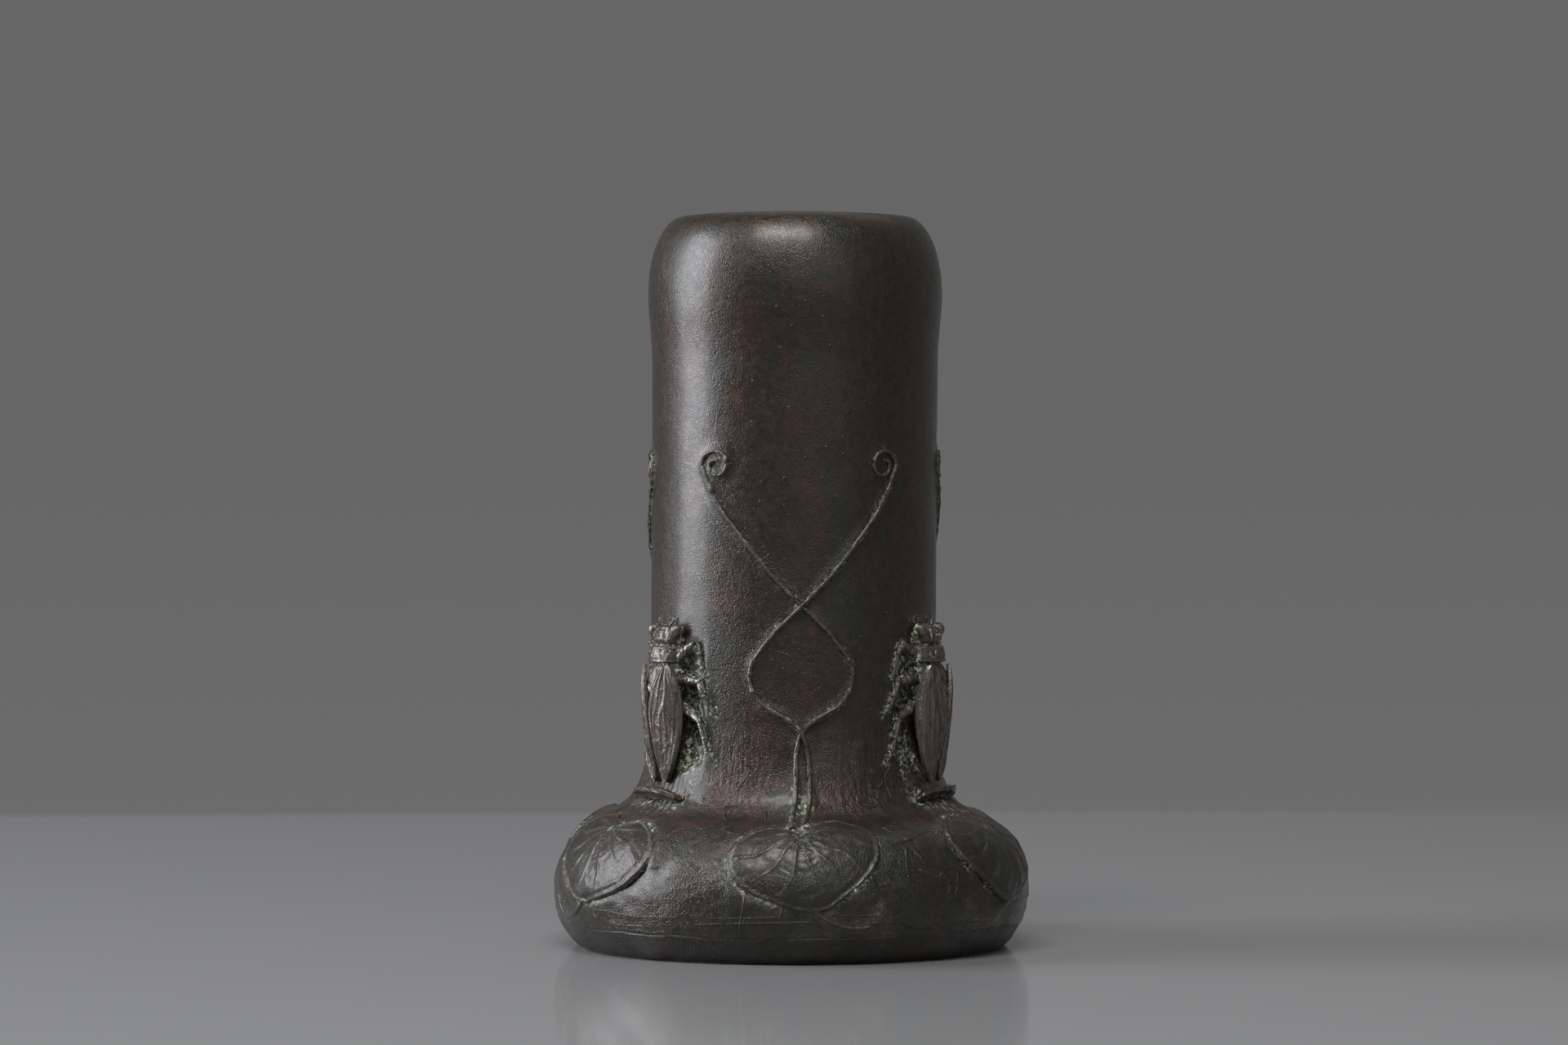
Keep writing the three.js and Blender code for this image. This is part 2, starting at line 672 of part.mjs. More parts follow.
["right", "back", "left"].forEach((name, index) => {
  const angle = radians((index + 0.5) * PANEL_TURN);
  add(`cicada_${name}`, geometryOf(cicada(angle)), figurePatina);
  add(`cicada_${name}_wing_a`, geometryOf(cicadaWing(angle, -1)), wingPatina);
  add(`cicada_${name}_wing_b`, geometryOf(cicadaWing(angle, 1)), wingPatina);
  add(`perch_${name}`, perch(angle), leafPatina);
});

["front", "right", "left"].forEach((name, index) => {
  const pair = tendrilPair(index * PANEL_TURN, LEAF_TILT);
  add(`tendril_${name}_a`, geometryOf(pair.left), tendrilPatina);
  add(`tendril_${name}_b`, geometryOf(pair.right), tendrilPatina);
});

// A leaf under each pair of tendrils, and one under each cicada that tilts the other way
for (let leaf = 0; leaf < 2 * PANELS; leaf++) {
  const tilt = leaf % 2 ? -LEAF_TILT : LEAF_TILT;
  add(`pad_leaf_${leaf + 1}`, geometryOf(padLeaf(radians((leaf * PANEL_TURN) / 2), tilt)), leafPatina);
}

export default vase;
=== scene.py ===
import math
from functools import partial

import bmesh
import bpy
import numpy as np
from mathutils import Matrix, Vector
from mathutils.kdtree import KDTree


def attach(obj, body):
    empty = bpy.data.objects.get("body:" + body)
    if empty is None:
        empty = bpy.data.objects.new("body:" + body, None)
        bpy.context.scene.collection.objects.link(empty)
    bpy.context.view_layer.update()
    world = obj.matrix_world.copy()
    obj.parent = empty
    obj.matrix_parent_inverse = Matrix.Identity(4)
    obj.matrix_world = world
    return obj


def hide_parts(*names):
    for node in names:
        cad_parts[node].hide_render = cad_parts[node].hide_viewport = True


bl_info = {
    "name": "Bronze Vase",
    "version": (1, 0, 0),
    "blender": (4, 5, 0),
    "location": "3D View > Sidebar > Vase",
    "description": "Dresses a cast bronze flower vase: its skin, relief, patina and studio",
    "category": "Object",
}

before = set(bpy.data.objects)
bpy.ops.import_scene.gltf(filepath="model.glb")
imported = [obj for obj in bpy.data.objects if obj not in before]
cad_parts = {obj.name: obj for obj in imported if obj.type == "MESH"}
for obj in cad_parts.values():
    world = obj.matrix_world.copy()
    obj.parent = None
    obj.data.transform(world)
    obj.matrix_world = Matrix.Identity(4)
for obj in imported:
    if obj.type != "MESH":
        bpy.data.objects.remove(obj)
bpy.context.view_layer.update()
METRES = 0.001
FULL_TURN = 2 * math.pi


def length(name, description, millimetres):
    """A size of the vase that a user may change, given here in millimetres."""
    return bpy.props.FloatProperty(
        name=name, description=description, default=millimetres * METRES, unit="LENGTH", precision=4
    )


def linear(code):
    """The linear colour of an sRGB hex value."""
    shares = [(code >> shift & 255) / 255 for shift in (16, 8, 0)]
    return [s / 12.92 if s <= 0.04045 else ((s + 0.055) / 1.055) ** 2.4 for s in shares]


def colour(name, description, code):
    """A colour that a user may change, given here as an sRGB hex value."""
    return bpy.props.FloatVectorProperty(
        name=name, description=description, default=linear(code), subtype="COLOR", size=3, min=0, max=1
    )


class CastingSizes(bpy.types.PropertyGroup):
    """The outline of the casting, as the CAD source has it."""

    height: length("Height", "From the foot to the crest of the lip", 240)
    wall: length("Wall", "Thickness of the bronze", 4)
    crest_radius: length("Lip crest radius", "Radius at the highest line of the lip", 37.2)
    lip_roll: length("Lip roll", "How far the lip rolls down into the mouth", 2.4)
    mouth_radius: length("Mouth radius", "Radius of the opening", 33.5)
    shoulder_radius: length("Shoulder radius", "Widest radius below the lip", 48.6)
    shoulder_drop: length("Shoulder drop", "From the crest down to the shoulder", 25.2)
    neck_radius: length("Neck radius", "Radius of the straight part of the neck", 47.3)
    neck_top_drop: length("Neck top drop", "From the crest down to the top of the neck", 50)
    flare_height: length("Flare height", "Where the neck begins to flare", 78)
    saddle_radius: length("Saddle radius", "Radius where the flare meets the bulb", 60)
    saddle_height: length("Saddle height", "Height where the flare meets the bulb", 44.6)
    bulb_radius: length("Bulb radius", "Widest radius of the bulb", 78.3)
    girth_height: length("Girth height", "Height of the bulb's widest line", 20.4)
    foot_radius: length("Foot radius", "Radius of the foot", 70)
    seam_height: length("Seam height", "Where the base pan is let into the bulb", 9)
    foot_ring: length("Foot ring width", "Width of the face the vase stands on", 8)
    unevenness: length("Unevenness", "How lumpy the hand-built skin of the bulb is", 0.62)


class ReliefSizes(bpy.types.PropertyGroup):
    """The relief laid on the casting."""

    crown_height: length("Crown height", "Height of the cicadas' heads", 106)
    eye_radius: length("Eye radius", "Radius of a cicada's eye", 2.3)
    wing_length: length("Wing length", "From the hinge to the tip of a forewing", 38)
    wing_width: length("Wing width", "Across one folded forewing", 10.4)
    wing_thickness: length("Wing thickness", "Thickness of a forewing", 1.2)
    vein_height: length("Vein height", "How far the wing veins stand up", 0.34)
    leg_reach: length("Leg reach", "How far the legs spread from the middle of the back", 21)
    leg_width: length("Leg width", "Width of a leg at its root", 1.9)
    tendril_width: length("Tendril width", "Width of a tendril at its root", 1.8)
    tendril_hop: length("Tendril hop", "How far one tendril rises to cross the other", 1.2)
    leaf_width: length("Leaf width", "Across a pad leaf", 50)
    leaf_length: length("Leaf length", "A pad leaf from notch to tip", 31)
    leaf_edge: length("Leaf edge", "Step down from a leaf's edge", 1.0)
    leaf_crown: length("Leaf crown", "How far a leaf's middle stands over its edge", 1.1)
    perch_length: length("Perch length", "Length of the stalk under each cicada", 24)
    perch_rise: length("Perch rise", "How far that stalk stands off the neck", 4.2)


class PatinaColours(bpy.types.PropertyGroup):
    """The colours of the patina, of the bronze that shows through it and of the studio."""

    brown: colour("Brown patina", "The ground colour of the body", 0x2B2219)
    red: colour("Red-brown patina", "Warm clouds where the patina is thin", 0x3D241A)
    green: colour("Green-black patina", "Cool clouds where the patina is thick", 0x20261F)
    # Soot is partly dirt and partly painted shade in recesses and under things
    soot_and_shade: colour("Soot And Shade", "What darkens the deep places", 0x1B1A16)
    verdigris: colour("Verdigris", "Copper salts in the recesses", 0x93A48C)
    pale_verdigris: colour("Pale verdigris", "The driest of the copper salts", 0xD0D3B6)
    bronze: colour("Rubbed bronze", "The metal on edges that hands have rubbed", 0x8A8079)
    floor: colour("Floor", "The pale table top", 0x949494)
    wall: colour("Wall", "The plain wall behind", 0x666666)


# --- Shapes in numbers ---------------------------------------------------------------------------


def ramp(value, start, end):
    """0 before start, 1 after end, and a soft rise between."""
    share = np.clip((value - start) / (end - start), 0, 1)
    return share * share * (3 - 2 * share)


def bell(distance, reach):
    """1 at no distance, a third at `reach`, and soon nothing."""
    return np.exp(-((distance / reach) ** 2))


def turned(radius, angle, height):
    """A place at a radius from the vase's axis. The angle is from the front, to the right."""
    return np.stack(np.broadcast_arrays(radius * np.sin(angle), -radius * np.cos(angle), height), axis=-1)


def outward(angle):
    """The direction from the vase's axis at an angle."""
    return np.array([math.sin(angle), -math.cos(angle), 0])


def lattice(points, size, seed):
    """Smooth random heights from -1 to 1, one bump about every `size` millimetres."""
    scaled = points / size
    cell = np.floor(scaled).astype(np.int64)
    inside = scaled - cell
    ease = inside * inside * (3 - 2 * inside)
    total = np.zeros(points.shape[:-1])
    for corner in np.ndindex(2, 2, 2):
        at = cell + np.array(corner)
        mixed = at[..., 0] * 73856093 ^ at[..., 1] * 19349663 ^ at[..., 2] * 83492791 ^ (seed + 7) * 40503
        mixed = (mixed ^ (mixed >> 13)) * 1274126177
        heights = ((mixed ^ (mixed >> 16)) & 0xFFFF) / 32767.5 - 1
        total += heights * np.prod(np.where(np.array(corner, bool), ease, 1 - ease), axis=-1)
    return total


# A turn that lines up with none of the lattice's axes
TUMBLE = np.array([[0.36, 0.48, -0.8], [-0.8, 0.6, 0.0], [0.48, 0.64, 0.6]])


def uneven(points, size, seed=0):
    """Rolling unevenness from three turned lattices, so that no grid shows."""
    once = points @ TUMBLE
    twice = once @ TUMBLE.T[::-1]
    broad = lattice(points @ TUMBLE.T, size, seed) + lattice(once, size * 0.83, seed + 1)
    return 0.55 * broad + 0.35 * lattice(twice, size * 0.47, seed + 2)


def spline(points, steps):
    """A smooth line through places, as many steps from each to the next, and where along it each point is."""
    places = np.asarray(points, float)
    last = len(places) - 1
    found, along = [], []
    for i in range(last):
        p0, p1, p2, p3 = places[max(i - 1, 0)], places[i], places[i + 1], places[min(i + 2, last)]
        s = np.arange(steps)[:, None] / steps
        a, b = (p2 - p0) / 2, (p3 - p1) / 2
        found.append((2 * p1 - 2 * p2 + a + b) * s**3 + (3 * p2 - 3 * p1 - 2 * a - b) * s**2 + a * s + p1)
        along.append(i + s[:, 0])
    return np.vstack([*found, places[-1:]]), np.append(np.concatenate(along), last)


class Outline:
    """The casting's outer outline, as a run from the foot up over the lip to the mouth, in millimetres."""

    def __init__(self, form):
        mm = {name: getattr(form, name) / METRES for name in form.__annotations__}
        self.height, self.wall = mm["height"], mm["wall"]
        foot = (mm["foot_radius"], 0)
        girth = (mm["bulb_radius"], mm["girth_height"])
        saddle = (mm["saddle_radius"], mm["saddle_height"])
        neck_foot = (mm["neck_radius"], mm["flare_height"])
        neck_top = (mm["neck_radius"], mm["height"] - mm["neck_top_drop"])
        shoulder = (mm["shoulder_radius"], mm["height"] - mm["shoulder_drop"])
        crest = (mm["crest_radius"], mm["height"])
        mouth = (mm["mouth_radius"], mm["height"] - mm["lip_roll"])

        def bend(start, end, leave, arrive):
            a, d = np.array(start, float), np.array(end, float)
            return a, a + (d - a) * leave, a + (d - a) * arrive, d

        spans = [
            bend(foot, girth, (0.65, 0.22), (1, 0.54)),
            bend(girth, saddle, (0, 0.44), (0.5, 0.88)),
            bend(saddle, neck_foot, (0.71, 0.09), (1, 0.4)),
            bend(neck_foot, neck_top, (0, 1 / 3), (0, 2 / 3)),
            bend(neck_top, shoulder, (0, 0.44), (1, 0.64)),
            bend(shoulder, crest, (0, 0.6), (0.52, 1)),
            bend(crest, mouth, (0.55, 0), (1, 0.35)),
        ]
        s = np.linspace(0, 1, 240)[:, None]
        places, headings = [], []
        for a, b, c, d in spans:
            places.append((1 - s) ** 3 * a + 3 * (1 - s) ** 2 * s * b + 3 * (1 - s) * s**2 * c + s**3 * d)
            along = (1 - s) ** 2 * (b - a) + 2 * (1 - s) * s * (c - b) + s**2 * (d - c)
            headings.append(along / np.linalg.norm(along, axis=1)[:, None])
        keep = [slice(0 if i == 0 else 1, None) for i in range(len(spans))]
        self.place = np.vstack([p[k] for p, k in zip(places, keep)])
        self.heading = np.vstack([h[k] for h, k in zip(headings, keep)])
        self.run = np.append(0, np.cumsum(np.linalg.norm(np.diff(self.place, axis=0), axis=1)))
        self.crest = int(np.argmax(self.place[:, 1]))
        self.length = self.run[-1]

    def at(self, run, lift=0.0):
        """Radius and height at a run, or lifted off it."""
        r, z = (np.interp(run, self.run, self.place[:, i]) for i in (0, 1))
        along_r, along_z = (np.interp(run, self.run, self.heading[:, i]) for i in (0, 1))
        return r + lift * along_z, z - lift * along_r

    def run_at(self, height):
        """The run at which the casting has a height, up to the crest of the lip."""
        return np.interp(height, self.place[: self.crest + 1, 1], self.run[: self.crest + 1])

    def out_of_round(self, angle, height):
        """The lean and the slow waves of a hand-built wax."""
        climb = height / self.height
        waves = np.sin(2 * angle + 0.5 + 2.7 * climb) + 0.7 * np.sin(3 * angle - 1.1 - 3.4 * climb)
        return 1.6 * (climb - 0.56) * np.sin(angle) + 0.3 * waves

    def skin(self, angle, run, lift=0.0):
        """A place on the casting's skin, or lifted off it. The angle is from the front, to the right."""
        r, z = self.at(run, lift)
        return turned(r + self.out_of_round(angle, z), angle, z)


class Relief:
    """Where everything that is laid on the casting goes, and what it does to the skin round it."""

    # Panels and cicadas with the degrees that they lie round the vase
    PANELS = (("front", 0), ("right", 120), ("left", 240))
    CICADAS = (("right", 60), ("back", 180), ("left", 300))
    # The height of the leaves' middles, and the degrees that they tilt, one to the left and the next to the right
    LEAF_LEVEL, LEAF_TILT = 34.5, 9
    # How deep the notch in a leaf is, and how far off the leaf's middle each of the two tendrils springs from it
    NOTCH, ROOT_OFF = 6, 1.3
    # Where the skin turns from the bulb's lumps to the neck's, and where a panel's tendrils leave their leaf
    BULB_TOP, ROOT_LEVEL = (40, 64), 49
    # A tendril's route up the neck, as (degrees from the panel's middle, height), and its curl's first and last radius
    WEAVE = ((0, 72), (16, 82), (20, 92), (12.4, 102.5), (0, 113), (-14.76, 126.05), (-32.8, 144.95), (-41, 158))
    CURL = (5.4, 1.5)
    # A cicada from its crown to the end of its abdomen, and its legs' joints, as shares of the leg reach and of that
    CICADA_LENGTH = 43.9
    LEGS = {
        "fore": ((0.24, 0.27), (0.42, 0.19), (0.6, 0.135), (0.7, 0.2), (0.76, 0.305), (0.82, 0.375)),
        "mid": ((0.24, 0.41), (0.48, 0.395), (0.7, 0.405), (0.82, 0.51), (0.9, 0.6), (1, 0.645)),
        "hind": ((0.24, 0.57), (0.46, 0.62), (0.74, 0.695), (0.82, 0.82), (0.88, 0.93), (0.98, 1)),
    }

    def __init__(self, form, sizes):
        self.outline = Outline(form)
        self.mm = {name: getattr(sizes, name) / METRES for name in sizes.__annotations__}
        self.neck = form.neck_radius / METRES
        self.seam = self.outline.run_at(form.seam_height / METRES)
        self.roughness = form.unevenness / METRES
        self.leaf_run = self.outline.run_at(self.LEAF_LEVEL)
        self.leaf_girth = self.outline.at(self.leaf_run)[0]
        self.tendrils = {
            f"tendril_{panel}_{letter}": self.tendril(side, math.radians(angle))
            for panel, angle in self.PANELS
            for letter, side in (("a", -1), ("b", 1))
        }
        self.legs = {name: self.leg_lines(math.radians(angle)) for name, angle in self.CICADAS}
        self.leaves = {
            f"pad_leaf_{n + 1}": (math.radians(60 * n), self.LEAF_TILT * (1, -1)[n % 2]) for n in range(6)
        }
        stems = [self.outline.skin(t["angle"], t["run"]) for t in self.tendrils.values()]
        legs = [self.outline.skin(leg["angle"], leg["run"]) for lines in self.legs.values() for leg in lines]
        edge = self.leaf_edge(np.linspace(0, FULL_TURN, 160))
        edges = [self.outline.skin(*self.leaf_place(*edge, *leaf)) for leaf in self.leaves.values()]
        tails = [self.outline.skin(*self.leaf_tail(*leaf)[:2]) for leaf in self.leaves.values()]
        self.trees = [self.tree(lines) for lines in (stems, legs, edges, tails)]

    @staticmethod
    def tree(lines):
        """What finds the nearest point of some lines."""
        points = np.vstack(lines)
        found = KDTree(len(points))
        for index, point in enumerate(points):
            found.insert(point, index)
        found.balance()
        return found

    @staticmethod
    def distance(tree, points):
        """How far each point is from the nearest in a tree."""
        flat = points.reshape(-1, 3)
        return np.array([tree.find(p)[2] for p in flat]).reshape(points.shape[:-1])

    # Leaves
    def leaf_edge(self, turn):
        """The edge of a pad leaf on its own flat: a heart with a notch above and a drip tip below."""
        wide, long = self.mm["leaf_width"], self.mm["leaf_length"]
        notch = self.NOTCH * bell(turn - math.pi, 0.3)
        tip = 0.1 * long * bell(np.minimum(turn, FULL_TURN - turn), 0.4)
        return wide / 2 * np.sin(turn) * (1 - 0.1 * np.cos(turn)), -long / 2 * np.cos(turn) - notch - tip

    def leaf_place(self, x, y, angle, tilt):
        """The angle and run of a place on a leaf's flat."""
        t = math.radians(tilt)
        across, up = x * math.cos(t) - y * math.sin(t), x * math.sin(t) + y * math.cos(t)
        return angle + across / self.leaf_girth, self.leaf_run + up

    def leaf_tail(self, angle, tilt):
        """The angle and run along the tail of a leaf's drip tip, and the share of it that each point is at."""
        low = self.leaf_edge(np.array(0.0))[1]
        side = 1 if tilt > 0 else -1
        places = [(0, 0.7 * low), (0, low), (7 * side, low - 5.6), (15 * side, low - 7), (20 * side, low - 2.1)]
        flat, _ = spline(places, 16)
        share = np.linspace(0, 1, len(flat))
        return (*self.leaf_place(flat[:, 0], flat[:, 1], angle, tilt), share)

    # Tendrils
    def tendril(self, side, panel):
        """One tendril's route: from the notch of the leaf below, twice over the panel's middle, to its curl."""
        up = self.mm["leaf_length"] / 2 - self.NOTCH + self.ROOT_OFF
        tilt = math.radians(self.LEAF_TILT)
        root = (-up * math.sin(tilt) - side * self.ROOT_OFF, self.leaf_run + up * math.cos(tilt))
        places = [(math.radians(turn) * side * self.neck, self.outline.run_at(z)) for turn, z in self.WEAVE]
        sway = (-2.1 * side, (root[1] + places[0][1]) / 2)
        stem, along = spline([root, sway, *places], 22)
        step = along * 3
        tip = stem[-1]
        turns = np.linspace(0, 1, 73)[1:]
        first, last = self.CURL
        radius = first + (last - first) * turns
        swing = turns * 1.3 * FULL_TURN
        curl = np.stack([tip[0] + side * (first - radius * np.cos(swing)), tip[1] + radius * np.sin(swing)], axis=1)
        flat = np.vstack([stem, curl])
        step = np.append(step, step[-1] + 12 * turns)
        share = step / step[-1]
        # The left one rises over the right one at both crossings
        hop = (side < 0) * self.mm["tendril_hop"] * (bell(along - 2, 0.2) + bell(along - 6, 0.2))
        taper = 1 - 0.42 * share
        girth = self.mm["tendril_width"] / 2 * taper
        return {
            "angle": panel + flat[:, 0] / self.neck,
            "run": flat[:, 1],
            "lift": 0.3 + 0.4 * taper + np.append(hop, np.zeros(len(curl))),
            "girth": girth,
            "knot": (np.abs((step + 2) % 3) < 0.067) & (step < along[-1] * 3 + 1),
            "swell": np.maximum(0, 1 - np.abs((step - 1 + 1.5) % 3 - 1.5) / 0.28),
        }

    # Cicadas
    def leg_lines(self, angle):
        """The six legs of a cicada, ten steps from each joint to the next."""
        lines = []
        s = np.arange(10)[:, None] / 10
        for side in (-1, 1):
            for joints in self.LEGS.values():
                flat = np.array(joints)
                fine = np.vstack([*(a + (b - a) * s for a, b in zip(flat[:-1], flat[1:])), flat[-1:]])
                z = self.mm["crown_height"] - fine[:, 1] * self.CICADA_LENGTH
                lines.append(
                    {
                        "angle": angle + side * fine[:, 0] * self.mm["leg_reach"] / self.neck,
                        "run": self.outline.run_at(z),
                        "step": np.arange(len(fine)) / 10,
                    }
                )
        return lines

    # The outline of a cicada's back, as (below its crown, half width, rise)
    BACK = (
        (-0.7, 2.6, 0.9),
        (0, 5.3, 2.9),
        (1.5, 6.9, 4.68),
        (4.2, 7.5, 5.77),
        (5.7, 7.1, 5.0),
        (6.3, 6.9, 4.84),
        (6.9, 7.8, 6.2),
        (9.84, 8.3, 7.02),
        (11.76, 8.3, 6.7),
        (12.5, 7.5, 6.1),
        (16.43, 7.64, 7.8),
        (21.0, 6.97, 7.8),
        (23.9, 6.0, 6.55),
        (29.9, 6.0, 6.24),
        (36.9, 4.32, 4.84),
        (42.4, 1.7, 2.9),
        (43.9, 0.7, 1.6),
    )

    def back_at(self, below):
        """Half width and rise of a cicada's back, smooth between its stations."""
        fine, _ = spline(self.BACK, 12)
        order = np.maximum.accumulate(fine[:, 0])
        return np.interp(below, order, fine[:, 1]), np.interp(below, order, fine[:, 2])

    def cicada_place(self, angle, across, below, out):
        """A place in a cicada's own frame: across its back, below its crown and out from the neck."""
        radius = self.neck + out
        return np.stack(
            np.broadcast_arrays(
                radius * math.sin(angle) + across * math.cos(angle),
                -radius * math.cos(angle) + across * math.sin(angle),
                self.mm["crown_height"] - below,
            ),
            axis=-1,
        )

    # The skin round the relief. Each foot line is its level, its wander and its seed
    FOOT_LINES = ((12.4, 2.4, 31), (15.8, 3.2, 37))

    @staticmethod
    def foot_line(angle, level, wander, seed):
        """The height of a thin line drawn round the bulb above its foot."""
        return level + wander * uneven(np.stack([42 * np.sin(angle), 42 * np.cos(angle), 0 * angle], -1), 26, seed)

    def seam_wander(self, angle):
        """How far the chased joint of the base pan strays from its level line."""
        ring = np.stack([74 * np.sin(angle), 74 * np.cos(angle), 0 * angle], axis=-1)
        return 1.3 * uneven(ring, 24, 51) + 0.4 * uneven(ring, 7, 57)

    @staticmethod
    def patchy(points, size, seed, low=-0.3, high=0.35):
        """1 in some places and 0 in others, as melted wax and salts come and go."""
        return ramp(uneven(points, size, seed), low, high)

    def root_distance(self, points, degrees):
        """How far each point is from where a panel's two tendrils spring."""
        angle = math.radians(degrees)
        return np.linalg.norm(points - self.outline.skin(angle, self.outline.run_at(self.ROOT_LEVEL)), axis=-1)

    def ground(self, angle, run):
        """How far the modelled skin stands off the plain outline, how recessed it is, with its salts and painted shade,
        and how rubbed it is.
        """
        z = self.outline.at(run)[1]
        points = self.outline.skin(angle, run)
        around = np.stack(np.broadcast_arrays(angle * 60, run, 0 * angle), axis=-1)
        bulb = 1 - ramp(run, *map(self.outline.run_at, self.BULB_TOP))
        lift = 0.17 * uneven(points, 31, 3) + 0.08 * uneven(points, 9, 5) + 0.04 * uneven(points, 3.6, 7)
        lumps = 0.75 * uneven(points, 17, 11) + 0.42 * uneven(points, 7, 13) + 0.2 * uneven(points, 3.3, 15)
        lift += bulb * self.roughness * lumps

        # Strokes of the modelling tool, swept round the bulb and up the flare
        drift = 9 * uneven(points, 26, 17)
        strokes = np.sin((around[..., 1] + 0.35 * np.abs(((around[..., 0] + 31) % 63) - 31) + drift) / 0.62)
        patch = ramp(uneven(points, 13, 19), -0.1, 0.5)
        lift += bulb * patch * 0.08 * strokes
        combed = np.sin((around[..., 0] + 5 * uneven(points, 18, 23)) / 0.5)
        flare = ramp(z, 38, 44) * (1 - ramp(z, 54, 66))
        lift += flare * 0.13 * combed * ramp(uneven(points, 11, 29), -0.2, 0.4)
        dents = 0.34 * uneven(points, 9, 33) + 0.16 * uneven(points, 3.8, 35)
        lift += ramp(z, 42, 49) * (1 - ramp(z, 62, 84)) * dents

        for line in self.FOOT_LINES:
            lift += 0.14 * bell(z - self.foot_line(angle, *line), 1.1)
        lift += 0.32 * bell(run - self.seam - self.seam_wander(angle), 0.7)

        # Melted wax along what is laid on, which all lies below 170 mm, and recesses beside it that take salts and
        # painted shade
        low = z < 170
        stems, legs, edges, tails = (np.full(z.shape, 99.0) for _ in self.trees)
        for tree, gap in zip(self.trees, (stems, legs, edges, tails)):
            gap[low] = self.distance(tree, points[low])
        melt = ramp(uneven(points, 12, 41), -0.35, 0.45)
        lift += (0.4 + 0.4 * melt) * bell(stems, 1.8) + 0.6 * bell(tails, 1.9) + 1.15 * melt * bell(edges, 3.6)
        spots = self.patchy(points, 7, 45)
        hollow = spots * (0.75 * bell(stems, 1.5) + 0.85 * bell(edges, 1.8) + 0.5 * bell(tails, 1.2))
        hollow = hollow + 0.9 * bell(legs, 1.9)

        # Round each cicada: pits behind the legs, their rim, the brow over the head and the pleats below
        for _, degrees in self.CICADAS:
            turn = (angle - math.radians(degrees) + math.pi) % FULL_TURN - math.pi
            across, below = np.abs(turn) * self.neck, self.mm["crown_height"] - z
            side = ramp(across, 5.5, 9) * (1 - ramp(across, 12.5, 17.5))
            pit = side * ramp(below, 3, 13) * (1 - ramp(below, 40, 50))
            pit = pit * (0.8 + 0.35 * uneven(points, 5, 43))
            lift -= 1.9 * pit + 0.6 * pit * uneven(points, 2.4, 47)
            rim = bell(across - 17.5, 2.6) * ramp(below, 2, 12) * (1 - ramp(below, 40, 50))
            lift += 0.3 * rim
            brow = bell(below + 1.5, 3.2) * (1 - ramp(across, 7, 12))
            lift += 0.5 * brow
            pleats = ramp(below, 55.5, 58) * (1 - ramp(below, 60, 70)) * (1 - ramp(across, 8.5, 13))
            lift += 0.5 * pleats
            # Pits, brow and pleats take salts and painted shade
            hollow += 0.95 * pit + 0.4 * brow + 0.2 * pleats
            # Between the legs and the perch the flare takes painted shade in patches, with salts that mirror less
            shade = (1 - ramp(across, 13, 20)) * ramp(below, 36, 44) * (1 - ramp(below, 55, 59))
            hollow += (0.18 + 0.3 * self.patchy(points, 4, 49)) * shade
            # Painted shade and salts where the ends of the perch meet the wall
            hollow += 0.8 * bell(np.hypot(np.maximum(across - 11, 0), below - 56.5), 2.4)
        lift *= 1 - 0.75 * ramp(run, self.outline.length - 16, self.outline.length)
        # Painted shade and salts where a panel's two tendrils spring
        root = np.min([self.root_distance(points, degrees) for _, degrees in self.PANELS], axis=0)
        hollow += 0.85 * bell(root, 4.2)
        rubbed = bulb * np.clip(lift / self.roughness, 0, 1) * 0.35
        return lift, np.clip(hollow, 0, 1), np.clip(rubbed, 0, 1)


# --- Meshes --------------------------------------------------------------------------------------


def strip_faces(rings, ring_size, start=0):
    """The quads between closed rings of points, as many points in each."""
    i = np.arange(ring_size)
    j = (i + 1) % ring_size
    ring = np.arange(rings - 1)[:, None] * ring_size + start
    quads = np.stack([ring + i, ring + j, ring + ring_size + j, ring + ring_size + i], axis=-1)
    return quads.reshape(-1, 4).tolist()


def capped_faces(rings, ring_size):
    """The quads between closed rings of points, and one face over each end."""
    ends = [[start + i for i in range(ring_size)] for start in (0, (rings - 1) * ring_size)]
    return strip_faces(rings, ring_size) + ends


def new_object(name, data):
    """Puts a mesh, lamp or camera into the scene."""
    obj = bpy.data.objects.new(name, data)
    bpy.context.scene.collection.objects.link(obj)
    return obj


def finish_piece(obj, slot, stands_for, material=None):
    """Gives a finished mesh its surface, hangs it under the root body and hides the CAD part that it stands for."""
    obj.data.materials.clear()
    obj.data.materials.append(material or finish(slot))
    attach(obj, "root")
    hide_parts(stands_for)


def shell(name, points, faces, marks):
    """A closed smooth mesh from places in millimetres, with what its surface needs to know at each."""
    mesh = bpy.data.meshes.new(name)
    mesh.from_pydata((np.asarray(points).reshape(-1, 3) * METRES).tolist(), [], faces)
    for mark, values in marks.items():
        layer = mesh.attributes.new(mark, "FLOAT", "POINT")
        layer.data.foreach_set("value", np.clip(np.asarray(values, np.float32).ravel(), 0, 1))
    work = bmesh.new()
    work.from_mesh(mesh)
    bmesh.ops.recalc_face_normals(work, faces=work.faces)
    for face in work.faces:
        face.smooth = True
    work.to_mesh(mesh)
    work.free()
    return new_object(name, mesh)


def gather(parts):
    """Several sets of points, faces and marks as one."""
    points, faces, marks, start = [], [], {}, 0
    for part_points, part_faces, part_marks in parts:
        flat = np.asarray(part_points).reshape(-1, 3)
        points.append(flat)
        faces += [[corner + start for corner in face] for face in part_faces]
        for mark, values in part_marks.items():
            marks.setdefault(mark, []).append(np.broadcast_to(values, len(flat)).ravel())
        start += len(flat)
    return np.vstack(points), faces, {mark: np.concatenate(values) for mark, values in marks.items()}


